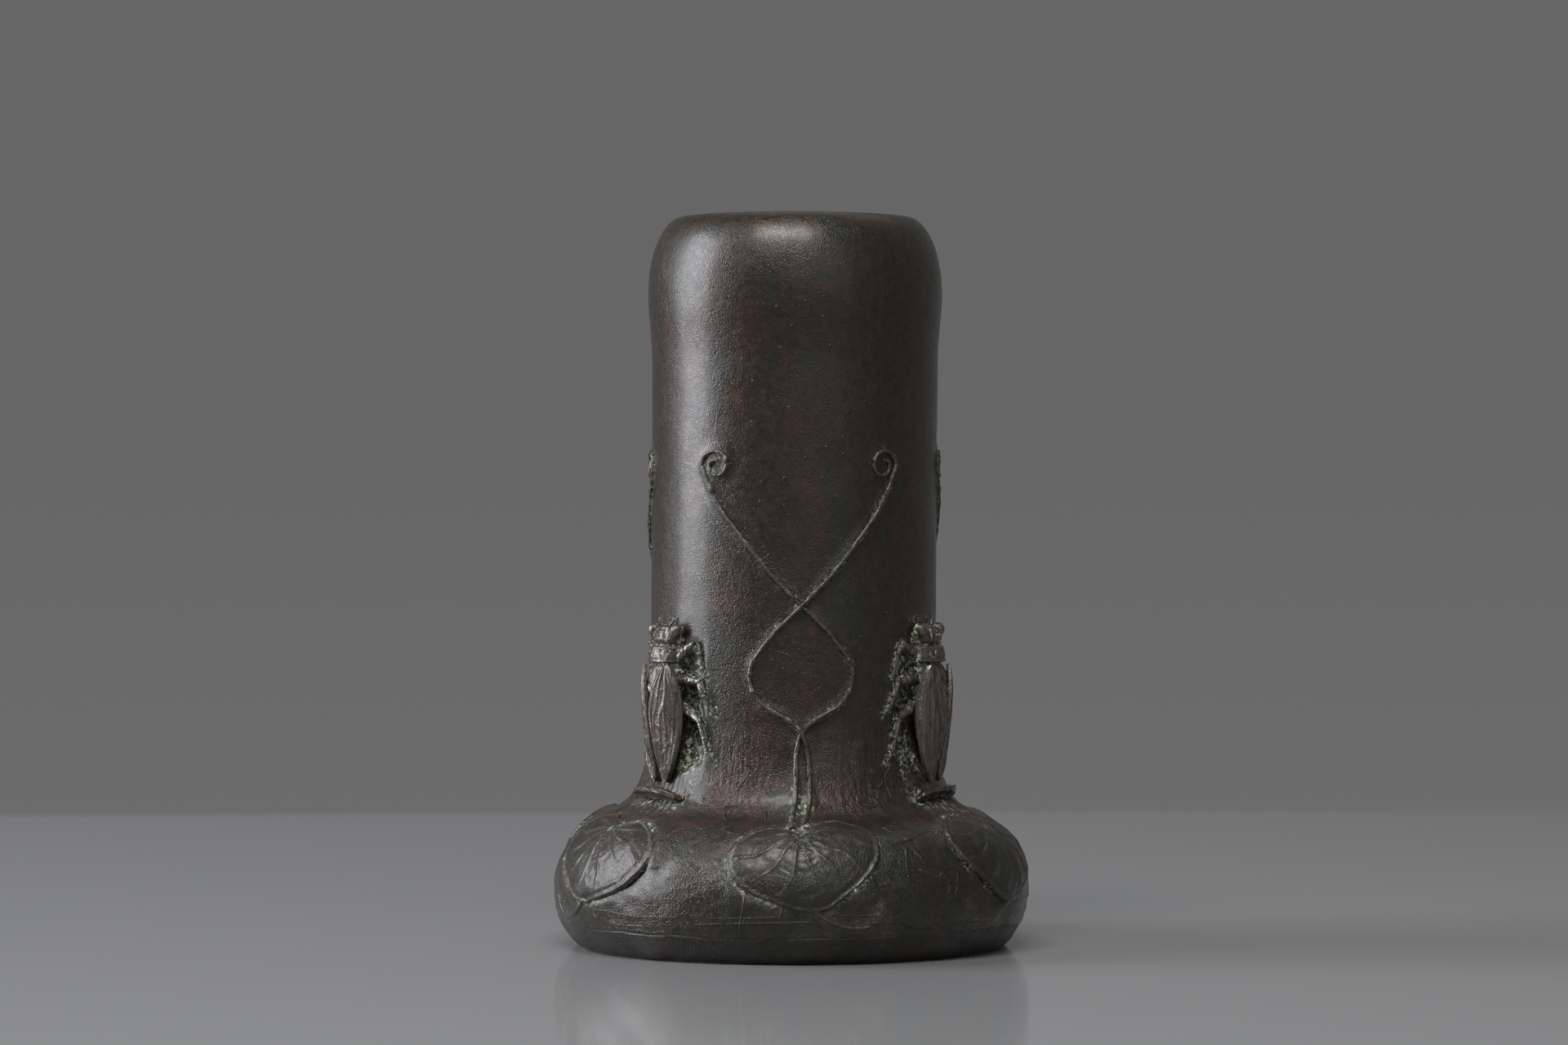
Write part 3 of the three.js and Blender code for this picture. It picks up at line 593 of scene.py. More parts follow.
def ball(centre, radii, axes, rows, around):
    """A closed ball of places, squashed along its axes."""
    lat = np.linspace(0, math.pi, rows + 1)[1:-1, None]
    lon = np.arange(around)[None] / around * FULL_TURN
    parts = (np.sin(lat) * np.cos(lon), np.sin(lat) * np.sin(lon), np.cos(lat) + 0 * lon)
    grid = centre + sum(r * p[..., None] * a for r, p, a in zip(radii, parts, axes))
    poles = np.array([centre + radii[2] * axes[2], centre - radii[2] * axes[2]])
    points = np.vstack([poles, grid.reshape(-1, 3)])
    faces = strip_faces(rows - 1, around, start=2)
    last = 2 + (rows - 2) * around
    for i in range(around):
        j = (i + 1) % around
        faces += [[0, 2 + j, 2 + i], [1, last + i, last + j]]
    return points, faces


# --- Nodes ---------------------------------------------------------------------------------------

MATH, RANGE, NOISE, MIX = "ShaderNodeMath", "ShaderNodeMapRange", "ShaderNodeTexNoise", "ShaderNodeMix"
MAPPING, VECTOR, ATTRIBUTE = "ShaderNodeMapping", "ShaderNodeVectorMath", "GeometryNodeInputNamedAttribute"
TIMES, MINUS, CLAMPED = {"operation": "MULTIPLY"}, {"operation": "SUBTRACT"}, {"use_clamp": True}
SOFT = {"interpolation_type": "SMOOTHSTEP"}
TINTS = {"data_type": "RGBA", "out": 2}


def node(tree, kind, inputs=(), out=0, **settings):
    """Adds a node with its settings, sets or links its inputs in order or by name, and gives an output or all."""
    made = tree.nodes.new(kind)
    for name, value in settings.items():
        setattr(made, name, value)
    for key, value in inputs.items() if isinstance(inputs, dict) else enumerate(inputs):
        if isinstance(value, bpy.types.NodeSocket):
            tree.links.new(value, made.inputs[key])
        else:
            made.inputs[key].default_value = value
    return made.outputs if out is None else made.outputs[out]


def grained(vector, size, detail=3, rough=0.55, distortion=0):
    """What noise is given so that it has one feature about every `size` millimetres."""
    scale = 1 / (size * METRES)
    return {"Vector": vector, "Scale": scale, "Detail": detail, "Roughness": rough, "Distortion": distortion}


# --- Materials -----------------------------------------------------------------------------------


def blank_material(name):
    """A material with nothing in its tree yet, and that tree."""
    material = bpy.data.materials.new(name)
    material.use_nodes = True
    material.node_tree.nodes.clear()
    return material, material.node_tree


def patinated_bronze(name, tone=1.0, roughness=0.34, verdigris=1.0, rub=1.0, grain=1.0, tooled=False, brushed=0.0):
    """Lost-wax cast bronze, chemically patinated and waxed.

    The eye gets a dark brown skin with red-brown and green-black clouds that run down the wall, a fine sandy
    grain from the mould, soot and painted shade in the recesses with pale copper salts there, metal on the rubbed edges
    and a soft waxed sheen.
    """
    if name in bpy.data.materials:
        return bpy.data.materials[name]
    tints = bpy.context.scene.vase_colours
    brown, red, green, soot_and_shade = (
        [*(channel * tone for channel in tint), 1] for tint in (tints.brown, tints.red, tints.green, tints.soot_and_shade)
    )
    fresh_salt, dry_salt, bare = ([*tint, 1] for tint in (tints.verdigris, tints.pale_verdigris, tints.bronze))
    material, tree = blank_material(name)
    add = partial(node, tree)

    place = add("ShaderNodeTexCoord", out="Object")
    # The patina was brushed on upright and ran down, so its clouds are three times as tall as wide
    runs = add(MAPPING, {"Vector": place, "Scale": (1, 1, 0.34)})
    elsewhere = add(MAPPING, {"Vector": runs, "Location": (0.31, 0.17, 0.53)})
    upright = add(MAPPING, {"Vector": place, "Scale": (1, 1, 0.14)})
    # The hollow mark carries recesses with their salts and their painted shade; the rubbed mark carries wear
    hollow, rubbed = (add("ShaderNodeAttribute", out="Fac", attribute_name=mark) for mark in ("hollow", "rubbed"))

    # Low down it is greener, and where the flare meets the bulb the red-brown shows
    height = add("ShaderNodeSeparateXYZ", [place], out=2)
    low = add(RANGE, [height, 0.03, 0.056, 1, 0], **SOFT)
    saddle = [add(RANGE, [height, 0.036, 0.046], **SOFT), add(RANGE, [height, 0.054, 0.072, 1, 0], **SOFT)]
    patches = add(RANGE, [add(NOISE, grained(place, 8)), 0.42, 0.6, 0, 0.75], **SOFT)
    patches = add(MATH, [add(MATH, saddle, **TIMES), patches], **TIMES)
    warm = add(RANGE, [add(NOISE, grained(runs, 9, 5, 0.66, 0.5)), 0.46, 0.72, 0, 0.75], **SOFT)
    warm = add(MATH, [warm, patches], **CLAMPED)
    cool = add(RANGE, [add(NOISE, grained(elsewhere, 13, 5, 0.64, 0.4)), 0.44, 0.68, 0, 0.75], **SOFT)
    cool = add(MATH, [cool, add(MATH, [low, 0.3], **TIMES)], **CLAMPED)
    skin = add(MIX, {0: warm, 6: brown, 7: red}, **TINTS)
    skin = add(MIX, {0: cool, 6: skin, 7: green}, **TINTS)
    freckle = add(RANGE, [add(NOISE, grained(place, 2.6, 4, 0.65)), 0.3, 0.72, 0.7, 1.3], **SOFT)
    freckle = add("ShaderNodeCombineColor", [freckle] * 3)
    skin = add(MIX, {0: 1, 6: skin, 7: freckle}, blend_type="MULTIPLY", **TINTS)

    # Recesses: first soot, partly dirt and partly painted shade, then copper salts in crumbs a millimetre or two across
    deep_and_shade = add(RANGE, [add(NOISE, grained(place, 1.7, 3, 0.7)), 0.3, 0.7, 0.55, 1.25], **SOFT)
    deep_and_shade = add(MATH, [hollow, deep_and_shade], **TIMES, **CLAMPED)
    skin = add(MIX, {0: add(RANGE, [deep_and_shade, 0.2, 0.85, 0, 0.5], **SOFT), 6: skin, 7: soot_and_shade}, **TINTS)
    crumbs = add(RANGE, [add(NOISE, grained(place, 1.3, 4, 0.75)), 0.44, 0.6], **SOFT)
    salts = add(MATH, [add(RANGE, [deep_and_shade, 0.15, 0.8], **SOFT), crumbs], **TIMES, **CLAMPED)
    salts = add(MATH, [salts, verdigris], **TIMES, **CLAMPED)
    dry = add(RANGE, [add(NOISE, grained(elsewhere, 3.4, 2)), 0.4, 0.66], **SOFT)
    salt = add(MIX, {0: dry, 6: fresh_salt, 7: dry_salt}, **TINTS)
    skin = add(MIX, {0: salts, 6: skin, 7: salt}, **TINTS)

    # Rubbed edges, broken up where the hand skipped; the burnisher went up and down the figures
    skipped = grained(upright, 1, 3, 0.6) if brushed else grained(place, 1.4, 3, 0.6)
    skipped = add(RANGE, [add(NOISE, skipped), 0.32, 0.62], **SOFT)
    worn = add(MATH, [add(MATH, [rubbed, skipped], **TIMES), rub], **TIMES, **CLAMPED)
    skin = add(MIX, {0: add(MATH, [worn, 0.85 if brushed else 0.6], **TIMES), 6: skin, 7: bare}, **TINTS)

    # The wax is thinner here and there, salts are dry, and rubbed metal is smoother
    gloss = add(NOISE, grained(place, 5.5, 4, 0.6))
    gloss = add(RANGE, [gloss, 0.25, 0.75, roughness - 0.06, roughness + 0.08], **SOFT)
    for size, detail, swing in ((0.5, 1, 0.34), (1.9, 2, 0.3)):
        off = add(MATH, [add(NOISE, grained(place, size, detail)), 0.5], **MINUS)
        gloss = add(MATH, [gloss, add(MATH, [off, swing], **TIMES)])
    gloss = add(MATH, [gloss, add(MATH, [salts, 0.4], **TIMES)], **CLAMPED)
    gloss = add(MATH, [gloss, add(MATH, [worn, 0.1], **TIMES)], **MINUS, **CLAMPED)
    metal = add(RANGE, [worn, 0, 1, 0.3, 0.9], **SOFT)
    metal = add(MATH, [metal, add(MATH, [1, salts], **MINUS)], **TIMES, **CLAMPED)

    # Mould sand, drawn at half a millimetre so that the picture can show it, coarser low down than up the neck
    sand = [add(NOISE, grained(place, 0.5, 1, 0.5)), add(RANGE, [height, 0.1, 0.16, 1.15, 0.7], **SOFT)]
    pebble = [add(NOISE, grained(place, 1.9, 2, 0.5)), add(RANGE, [height, 0.05, 0.11, 0.9, 0.3], **SOFT)]
    rise = add(MATH, [add(MATH, sand, **TIMES), add(MATH, pebble, **TIMES)])
    # A pimple about every 4.6 mm, where a bubble sat in the mould
    pimples = add("ShaderNodeTexVoronoi", {"Vector": place, "Scale": 1 / (4.6 * METRES), "Randomness": 1})
    pimples = add(RANGE, [pimples, 0.05, 0.12, 1, 0], **SOFT)
    rise = add(MATH, [rise, add(MATH, [pimples, 0.7], **TIMES)])
    # A comb drew the flare upright, and the turntable drew the foot level
    for scale, size, start, end, stop, depth in (
        ((1, 1, 0.1), 1.3, 0.043, 0.05, 0.066, 1.5),
        ((0.08, 0.08, 1), 1.5, -0.002, -0.001, 0.019, 0.6),
    ):
        streaks = add(NOISE, grained(add(MAPPING, {"Vector": place, "Scale": scale}), size, 2, 0.5))
        band = [add(RANGE, [height, start, end], **SOFT), add(RANGE, [height, stop, stop + 0.01, 1, 0], **SOFT)]
        streaks = add(MATH, [streaks, add(MATH, band, **TIMES)], **TIMES)
        rise = add(MATH, [rise, add(MATH, [streaks, depth], **TIMES)])
    chalk = add(MATH, [crumbs, deep_and_shade], **TIMES)
    rise = add(MATH, [rise, add(MATH, [chalk, 2.2], **TIMES)])
    if brushed:
        strokes = add(NOISE, grained(upright, 0.6, 1, 0.5))
        rise = add(MATH, [rise, add(MATH, [strokes, brushed], **TIMES)])
    if tooled:
        # Fine raised lines and scratches that the modelling tool left on the bulb, 0.6 to 1 mm wide
        worked = add(RANGE, [height, 0.046, 0.07, 1, 0.1], **SOFT)
        for size, wide, ground, patch in ((24, 0.013, place, 0.46), (13, 0.022, elsewhere, 0.52)):
            off = add(MATH, [add(NOISE, grained(ground, size, 1, 0.4)), 0.5], **MINUS)
            line = add(RANGE, [add(MATH, [off], operation="ABSOLUTE"), 0, wide, 1, 0], **SOFT)
            here = add(RANGE, [add(NOISE, grained(ground, 11, 2)), patch, patch + 0.06], **SOFT)
            line = add(MATH, [line, add(MATH, [worked, here], **TIMES)], **TIMES)
            rise = add(MATH, [rise, add(MATH, [line, 1.3], **TIMES)])
    # All of it stands about a quarter of a millimetre proud
    bump = add("ShaderNodeBump", {"Height": rise, "Strength": 1, "Distance": 0.27 * METRES * grain})

    surface = add(
        "ShaderNodeBsdfPrincipled",
        {
            "Base Color": skin,
            "Metallic": metal,
            "Roughness": gloss,
            "Normal": bump,
            "Coat Weight": 0.4,
            "Coat Roughness": 0.25,
            "Coat IOR": 1.44,
        },
    )
    add("ShaderNodeOutputMaterial", {"Surface": surface}, out=None)
    return material


FINISHES = {
    "body_bronze": ("Cast bronze, brown patina, waxed", {"tooled": True}),
    "base_bronze": ("Cast bronze, dull dark patina", {"tone": 0.7, "roughness": 0.48, "grain": 1.1}),
    "figure_bronze": (
        "Chased bronze, patina with verdigris",
        {"roughness": 0.33, "verdigris": 1.2, "grain": 0.7, "brushed": 0.5},
    ),
    "wing_bronze": (
        "Chased bronze, burnished patina",
        {"tone": 1.1, "roughness": 0.33, "verdigris": 0.6, "grain": 0.6, "brushed": 0.7},
    ),
    "tendril_bronze": (
        "Cast bronze thread, worn patina",
        {"tone": 1.05, "roughness": 0.36, "verdigris": 0.55, "rub": 0.6, "grain": 0.8},
    ),
    "leaf_bronze": (
        "Cast bronze, green-black patina",
        {"tone": 0.97, "roughness": 0.38, "verdigris": 0.55, "grain": 0.9},
    ),
}


def finish(slot):
    """The material of one of the record's slots."""
    name, settings = FINISHES[slot]
    return patinated_bronze(name, **settings)


def copper_salts():
    """Copper salts that crept out of the bronze: a dry chalky crust, pale green to almost white."""
    tints = bpy.context.scene.vase_colours
    material, tree = blank_material("Copper salts, crusted")
    add = partial(node, tree)
    place = add("ShaderNodeTexCoord", out="Object")
    # Drifts of dry salt 2.4 mm across, and chalk grains of 0.2 mm
    dry = add(NOISE, {"Vector": place, "Scale": 420, "Detail": 3})
    dry = add(RANGE, [dry, 0.4, 0.62])
    tint = add(MIX, {0: dry, 6: [*tints.verdigris, 1], 7: [*tints.pale_verdigris, 1]}, **TINTS)
    chalk = add(NOISE, {"Vector": place, "Scale": 5000, "Detail": 2})
    bump = add("ShaderNodeBump", {"Height": chalk, "Distance": 0.05 * METRES})
    surface = add("ShaderNodeBsdfPrincipled", {"Base Color": tint, "Roughness": 0.85, "Metallic": 0, "Normal": bump})
    add("ShaderNodeOutputMaterial", {"Surface": surface}, out=None)
    return material


# --- Geometry Nodes: threads of wax with their knots, and crumbs of salt -------------------------


def modelling_tree(name, *sizes):
    """An empty tree that takes a guide mesh, named sizes and a material, and what it is given."""
    tree = bpy.data.node_groups.new(name, "GeometryNodeTree")
    sockets = tree.interface
    sockets.new_socket("Geometry", in_out="INPUT", socket_type="NodeSocketGeometry")
    for label, kind, value in sizes:
        sockets.new_socket(label, in_out="INPUT", socket_type="NodeSocket" + kind).default_value = value
    sockets.new_socket("Material", in_out="INPUT", socket_type="NodeSocketMaterial")
    sockets.new_socket("Geometry", in_out="OUTPUT", socket_type="NodeSocketGeometry")
    return tree, node(tree, "NodeGroupInput", out=None)


def close_tree(tree, geometry, material):
    """Ends a tree: its instances are made real and get their material."""
    whole = node(tree, "GeometryNodeRealizeInstances", {"Geometry": geometry})
    dressed = node(tree, "GeometryNodeSetMaterial", {"Geometry": whole, "Material": material})
    node(tree, "NodeGroupOutput", {"Geometry": dressed}, out=None)
    return tree


def thread_tree():
    """The tree that sweeps threads of wax along edges and sets a knot on each marked point."""
    name = "Wax thread"
    if name in bpy.data.node_groups:
        return bpy.data.node_groups[name]
    tree, given = modelling_tree(
        name,
        ("Sides", "Int", 14),
        ("Knot Swell", "Float", 1.35),
        ("Grain Size", "Float", 1.6 * METRES),
        ("Grain Depth", "Float", 0.16 * METRES),
        ("Rub", "Float", 1.0),
        ("Damp", "Float", 1.0),
        ("Seed", "Float", 3.0),
    )
    add = partial(node, tree)
    girth, knot = (add(ATTRIBUTE, {"Name": mark}, data_type="FLOAT") for mark in ("girth", "knot"))
    is_knot = add("FunctionNodeCompare", [knot, 0.5], data_type="FLOAT", operation="GREATER_THAN")
    line = add("GeometryNodeMeshToCurve", {"Mesh": given["Geometry"]})
    ring = add("GeometryNodeCurvePrimitiveCircle", {"Resolution": given["Sides"], "Radius": 1})
    tube = {"Curve": line, "Profile Curve": ring, "Scale": girth, "Fill Caps": True}
    tube = add("GeometryNodeCurveToMesh", tube)
    bead = add("GeometryNodeMeshIcoSphere", {"Radius": 1, "Subdivisions": 3})
    size = add(MATH, [girth, given["Knot Swell"]], **TIMES)
    beads = {"Points": given["Geometry"], "Selection": is_knot, "Instance": bead, "Scale": size}
    beads = add("GeometryNodeRealizeInstances", {"Geometry": add("GeometryNodeInstanceOnPoints", beads)})
    joined = add("GeometryNodeJoinGeometry")
    for part in (beads, tube):
        tree.links.new(part, joined.node.inputs[0])

    position, normal = add("GeometryNodeInputPosition"), add("GeometryNodeInputNormal")
    scale = add(MATH, [1, given["Grain Size"]], operation="DIVIDE")
    lumps = {"Vector": position, "W": given["Seed"], "Scale": scale, "Detail": 2}
    push = add(NOISE, lumps, noise_dimensions="4D")
    for value, operation in ((0.5, MINUS), (given["Grain Depth"], TIMES), (2, TIMES)):
        push = add(MATH, [push, value], **operation)
    offset = add(VECTOR, {0: normal, "Scale": push}, operation="SCALE")
    marked = add("GeometryNodeSetPosition", {"Geometry": joined, "Offset": offset})

    # The side that faces away from the vase is rubbed, and the side that meets the wall is marked as a recess, with
    # salts and painted shade
    flat = add(VECTOR, [position, (1, 1, 0)], **TIMES)
    away = add(VECTOR, [flat], operation="NORMALIZE")
    facing = add(VECTOR, [normal, away], out="Value", operation="DOT_PRODUCT")
    for mark, end, most in (("rubbed", 1, given["Rub"]), ("hollow", 0.1, given["Damp"])):
        level = add(RANGE, {0: facing, 1: 0.55, 2: end, 4: most})
        store = {"Geometry": marked, "Name": mark, "Value": level}
        marked = add("GeometryNodeStoreNamedAttribute", store, data_type="FLOAT")
    return close_tree(tree, add("GeometryNodeSetShadeSmooth", {"Geometry": marked}), given["Material"])


def crust_tree():
    """The tree that scatters crumbs of copper salt over the recesses of a skin."""
    tree, given = modelling_tree(
        "Verdigris crust",
        ("Density", "Float", 520000.0),
        ("Smallest", "Float", 0.12 * METRES),
        ("Largest", "Float", 0.42 * METRES),
        ("Seed", "Int", 5),
    )
    add = partial(node, tree)
    # Recesses marked past 0.45 only, where salts gather, and there in patches about 5 mm across
    damp = add(RANGE, [add(ATTRIBUTE, {"Name": "hollow"}, data_type="FLOAT"), 0.45, 1])
    drift = add(NOISE, {"Vector": add("GeometryNodeInputPosition"), "Scale": 210, "Detail": 2})
    share = add(MATH, [damp, add(RANGE, [drift, 0.44, 0.64])], **TIMES)
    spots = {"Mesh": given["Geometry"], "Density": add(MATH, [share, given["Density"]], **TIMES), "Seed": given["Seed"]}
    spots = add("GeometryNodeDistributePointsOnFaces", spots, out=None)
    crumb = add("GeometryNodeMeshIcoSphere", {"Radius": 1, "Subdivisions": 1})
    sizes = {2: given["Smallest"], 3: given["Largest"], "Seed": given["Seed"]}
    sizes = add("FunctionNodeRandomValue", sizes, out=1, data_type="FLOAT")
    crumbs = {"Points": spots["Points"], "Instance": crumb, "Rotation": spots["Rotation"], "Scale": sizes}
    crumbs = add("GeometryNodeInstanceOnPoints", crumbs)
    squashed = add("GeometryNodeScaleInstances", {"Instances": crumbs, "Scale": (1, 1, 0.6)})
    return close_tree(tree, squashed, given["Material"])


def grow(name, guide, tree, **inputs):
    """Runs a tree on a guide mesh and keeps the result as a plain mesh. The inputs are named in lower case."""
    holder = new_object(name + "_guide", guide)
    modifier = holder.modifiers.new(tree.name, "NODES")
    modifier.node_group = tree
    keys = {item.name: item.identifier for item in tree.interface.items_tree if item.in_out == "INPUT"}
    for label, value in inputs.items():
        modifier[keys[label.replace("_", " ").title()]] = value
    bpy.context.view_layer.update()
    mesh = bpy.data.meshes.new_from_object(holder.evaluated_get(bpy.context.evaluated_depsgraph_get()))
    holder.modifiers.remove(modifier)
    bpy.data.objects.remove(holder)
    mesh.name = name
    return new_object(name, mesh)


def threads(name, lines, slot, target, **sizes):
    """Sweeps wax threads along lines of places in millimetres, each with its girths and its knots."""
    points, edges, girths, knots = [], [], [], []
    for places, girth, knot in lines:
        start = len(girths)
        points += (places * METRES).tolist()
        edges += [(start + i, start + i + 1) for i in range(len(places) - 1)]
        girths += (np.asarray(girth) * METRES).tolist()
        knots += np.asarray(knot, float).tolist()
    guide = bpy.data.meshes.new(name + "_guide")
    guide.from_pydata(points, edges, [])
    for mark, values in (("girth", girths), ("knot", knots)):
        guide.attributes.new(mark, "FLOAT", "POINT").data.foreach_set("value", values)
    finish_piece(grow(name, guide, thread_tree(), material=finish(slot), **sizes), slot, target)


def relief():
    """Everything that is laid on the casting, at the sizes that are set now."""
    scene = bpy.context.scene
    return Relief(scene.vase_casting, scene.vase_relief)


# --- Operators -----------------------------------------------------------------------------------


class VASE_OT_body(bpy.types.Operator):
    """Models the vase body: the uneven skin, the rolled lip and the inner wall"""

    bl_idname = "vase.body"
    bl_label = "Vase body"

    AROUND = 400

    def execute(self, context):
        plan = relief()
        outline = plan.outline
        # From each of these places on, how far apart the rings lie
        stops = (
            (plan.seam, 0.95),
            (outline.run_at(46), 0.85),
            (outline.run_at(110), 1.9),
            (outline.run_at(200), 1.6),
            (outline.length - 9, 0.6),
            (outline.length, 1),
        )
        runs = []
        for (start, pace), (end, _) in zip(stops[:-1], stops[1:]):
            runs += np.arange(start, end - pace / 2, (end - start) / round((end - start) / pace)).tolist()
        runs.append(outline.length)
        angle = np.arange(self.AROUND) / self.AROUND * FULL_TURN
        angles, rows = np.meshgrid(angle, runs)
        rows = rows + plan.seam_wander(angles) * (1 - ramp(rows, plan.seam, plan.seam + 9))
        lift, hollow, rubbed = plan.ground(angles, rows)
        outer = outline.skin(angles, rows, lift)

        mouth_r, mouth_z = outline.at(outline.length)
        roll = [(mouth_r - 0.1, mouth_z - 0.8), (mouth_r + 0.4, mouth_z - 1.5)]
        inner_runs = np.linspace(outline.run[outline.crest], plan.seam, 20)
        inside = [outline.at(run, -outline.wall) for run in inner_runs]
        inside[-1] = (inside[-1][0], outline.at(plan.seam)[1])
        rings = [turned(r + outline.out_of_round(angle, z), angle, z) for r, z in roll + inside]
        points = np.concatenate([outer, np.array(rings)])
        faces = strip_faces(len(points), self.AROUND)
        last = (len(points) - 1) * self.AROUND
        for i in range(self.AROUND):
            j = (i + 1) % self.AROUND
            faces.append([last + i, last + j, j, i])
        # The inside wall takes a little painted shade, too little for salt crumbs
        inner_hollow_and_shade = np.full((len(rings), self.AROUND), 0.22)
        marks = {
            "hollow": np.concatenate([hollow, inner_hollow_and_shade]),
            "rubbed": np.concatenate([rubbed, 0 * inner_hollow_and_shade]),
        }
        finish_piece(shell("vase_body_skin", points, faces, marks), "body_bronze", "vase_body")
        return {"FINISHED"}


class VASE_OT_crust(bpy.types.Operator):
    """Scatters crumbs of verdigris in the recesses round the relief"""

    bl_idname = "vase.crust"
    bl_label = "Verdigris crust"

    def execute(self, context):
        skin = bpy.data.objects["vase_body_skin"].data.copy()
        salts = copper_salts()
        crust = grow("verdigris_crust", skin, crust_tree(), material=salts)
        finish_piece(crust, "figure_bronze", "vase_body", salts)
        return {"FINISHED"}


class VASE_OT_base(bpy.types.Operator):
    """Models the base pan: the foot ring, the recessed underside and the spigot"""

    bl_idname = "vase.base"
    bl_label = "Base pan"

    AROUND = 300
    # Heights of the underside and of the floor above it, and how far the spigot stands up
    UNDERSIDE, FLOOR, SPIGOT = 1.5, 5.5, 6

    def execute(self, context):
        plan = relief()
        outline = plan.outline
        form = context.scene.vase_casting
        angle = np.arange(self.AROUND) / self.AROUND * FULL_TURN
        runs = np.linspace(0.9, plan.seam - 0.04, 14)
        angles, rows = np.meshgrid(angle, runs)
        rows = rows + plan.seam_wander(angles) * ramp(rows, 1, plan.seam)
        lift, hollow, rubbed = plan.ground(angles, rows)
        skin = outline.skin(angles, rows, lift)
        foot, ring = form.foot_radius / METRES, form.foot_ring / METRES
        seam_z = outline.at(plan.seam)[1]
        low, high = seam_z - 0.3, seam_z + self.SPIGOT
        bore = outline.at(plan.seam, -outline.wall)[0] - 0.3
        bore_above = min(bore, outline.at(outline.run_at(high), -outline.wall)[0] - 0.3)
        under = [
            *((r, self.UNDERSIDE) for r in (0.4, 20, 45, foot - ring - 1)),
            (foot - ring, 1.2),
            (foot - ring + 0.5, 0.1),
            (foot - ring + 1, 0),
            (foot - 0.9, 0),
            (foot - 0.1, 0.25),
        ]
        over = [
            (bore, low),
            (bore_above, high),
            (bore_above - 2.4, high),
            (bore - 2.4, low),
            *((r, self.FLOOR) for r in (foot - 8, 30, 0.4)),
        ]

        def ring_at(r, z):
            reach = r + min(1, r / 33.5) * outline.out_of_round(angle, z)
            wobble = 0.35 * uneven(np.stack([reach * np.sin(angle), reach * np.cos(angle), 0 * angle], -1), 12, 61)
            reach = reach + (wobble if abs(r - foot) < 2 else 0)
            return turned(reach, angle, z)

        points = np.concatenate([[ring_at(*p) for p in under], skin, [ring_at(*p) for p in over]])
        faces = capped_faces(len(points), self.AROUND)
        below, above = np.ones((len(under), self.AROUND)), np.ones((len(over), self.AROUND))
        # The underside and the inside of the base take painted shade, and its skin at least a little
        marks = {
            "hollow": np.concatenate([0.5 * below, np.maximum(hollow, 0.15), 0.6 * above]),
            "rubbed": np.concatenate([0 * below, rubbed, 0 * above]),
        }
        # The ring that the vase stands on is rubbed bare
        marks["rubbed"][5:8] = 0.8
        finish_piece(shell("base_pan_dish", points, faces, marks), "base_bronze", "base_pan")
        return {"FINISHED"}


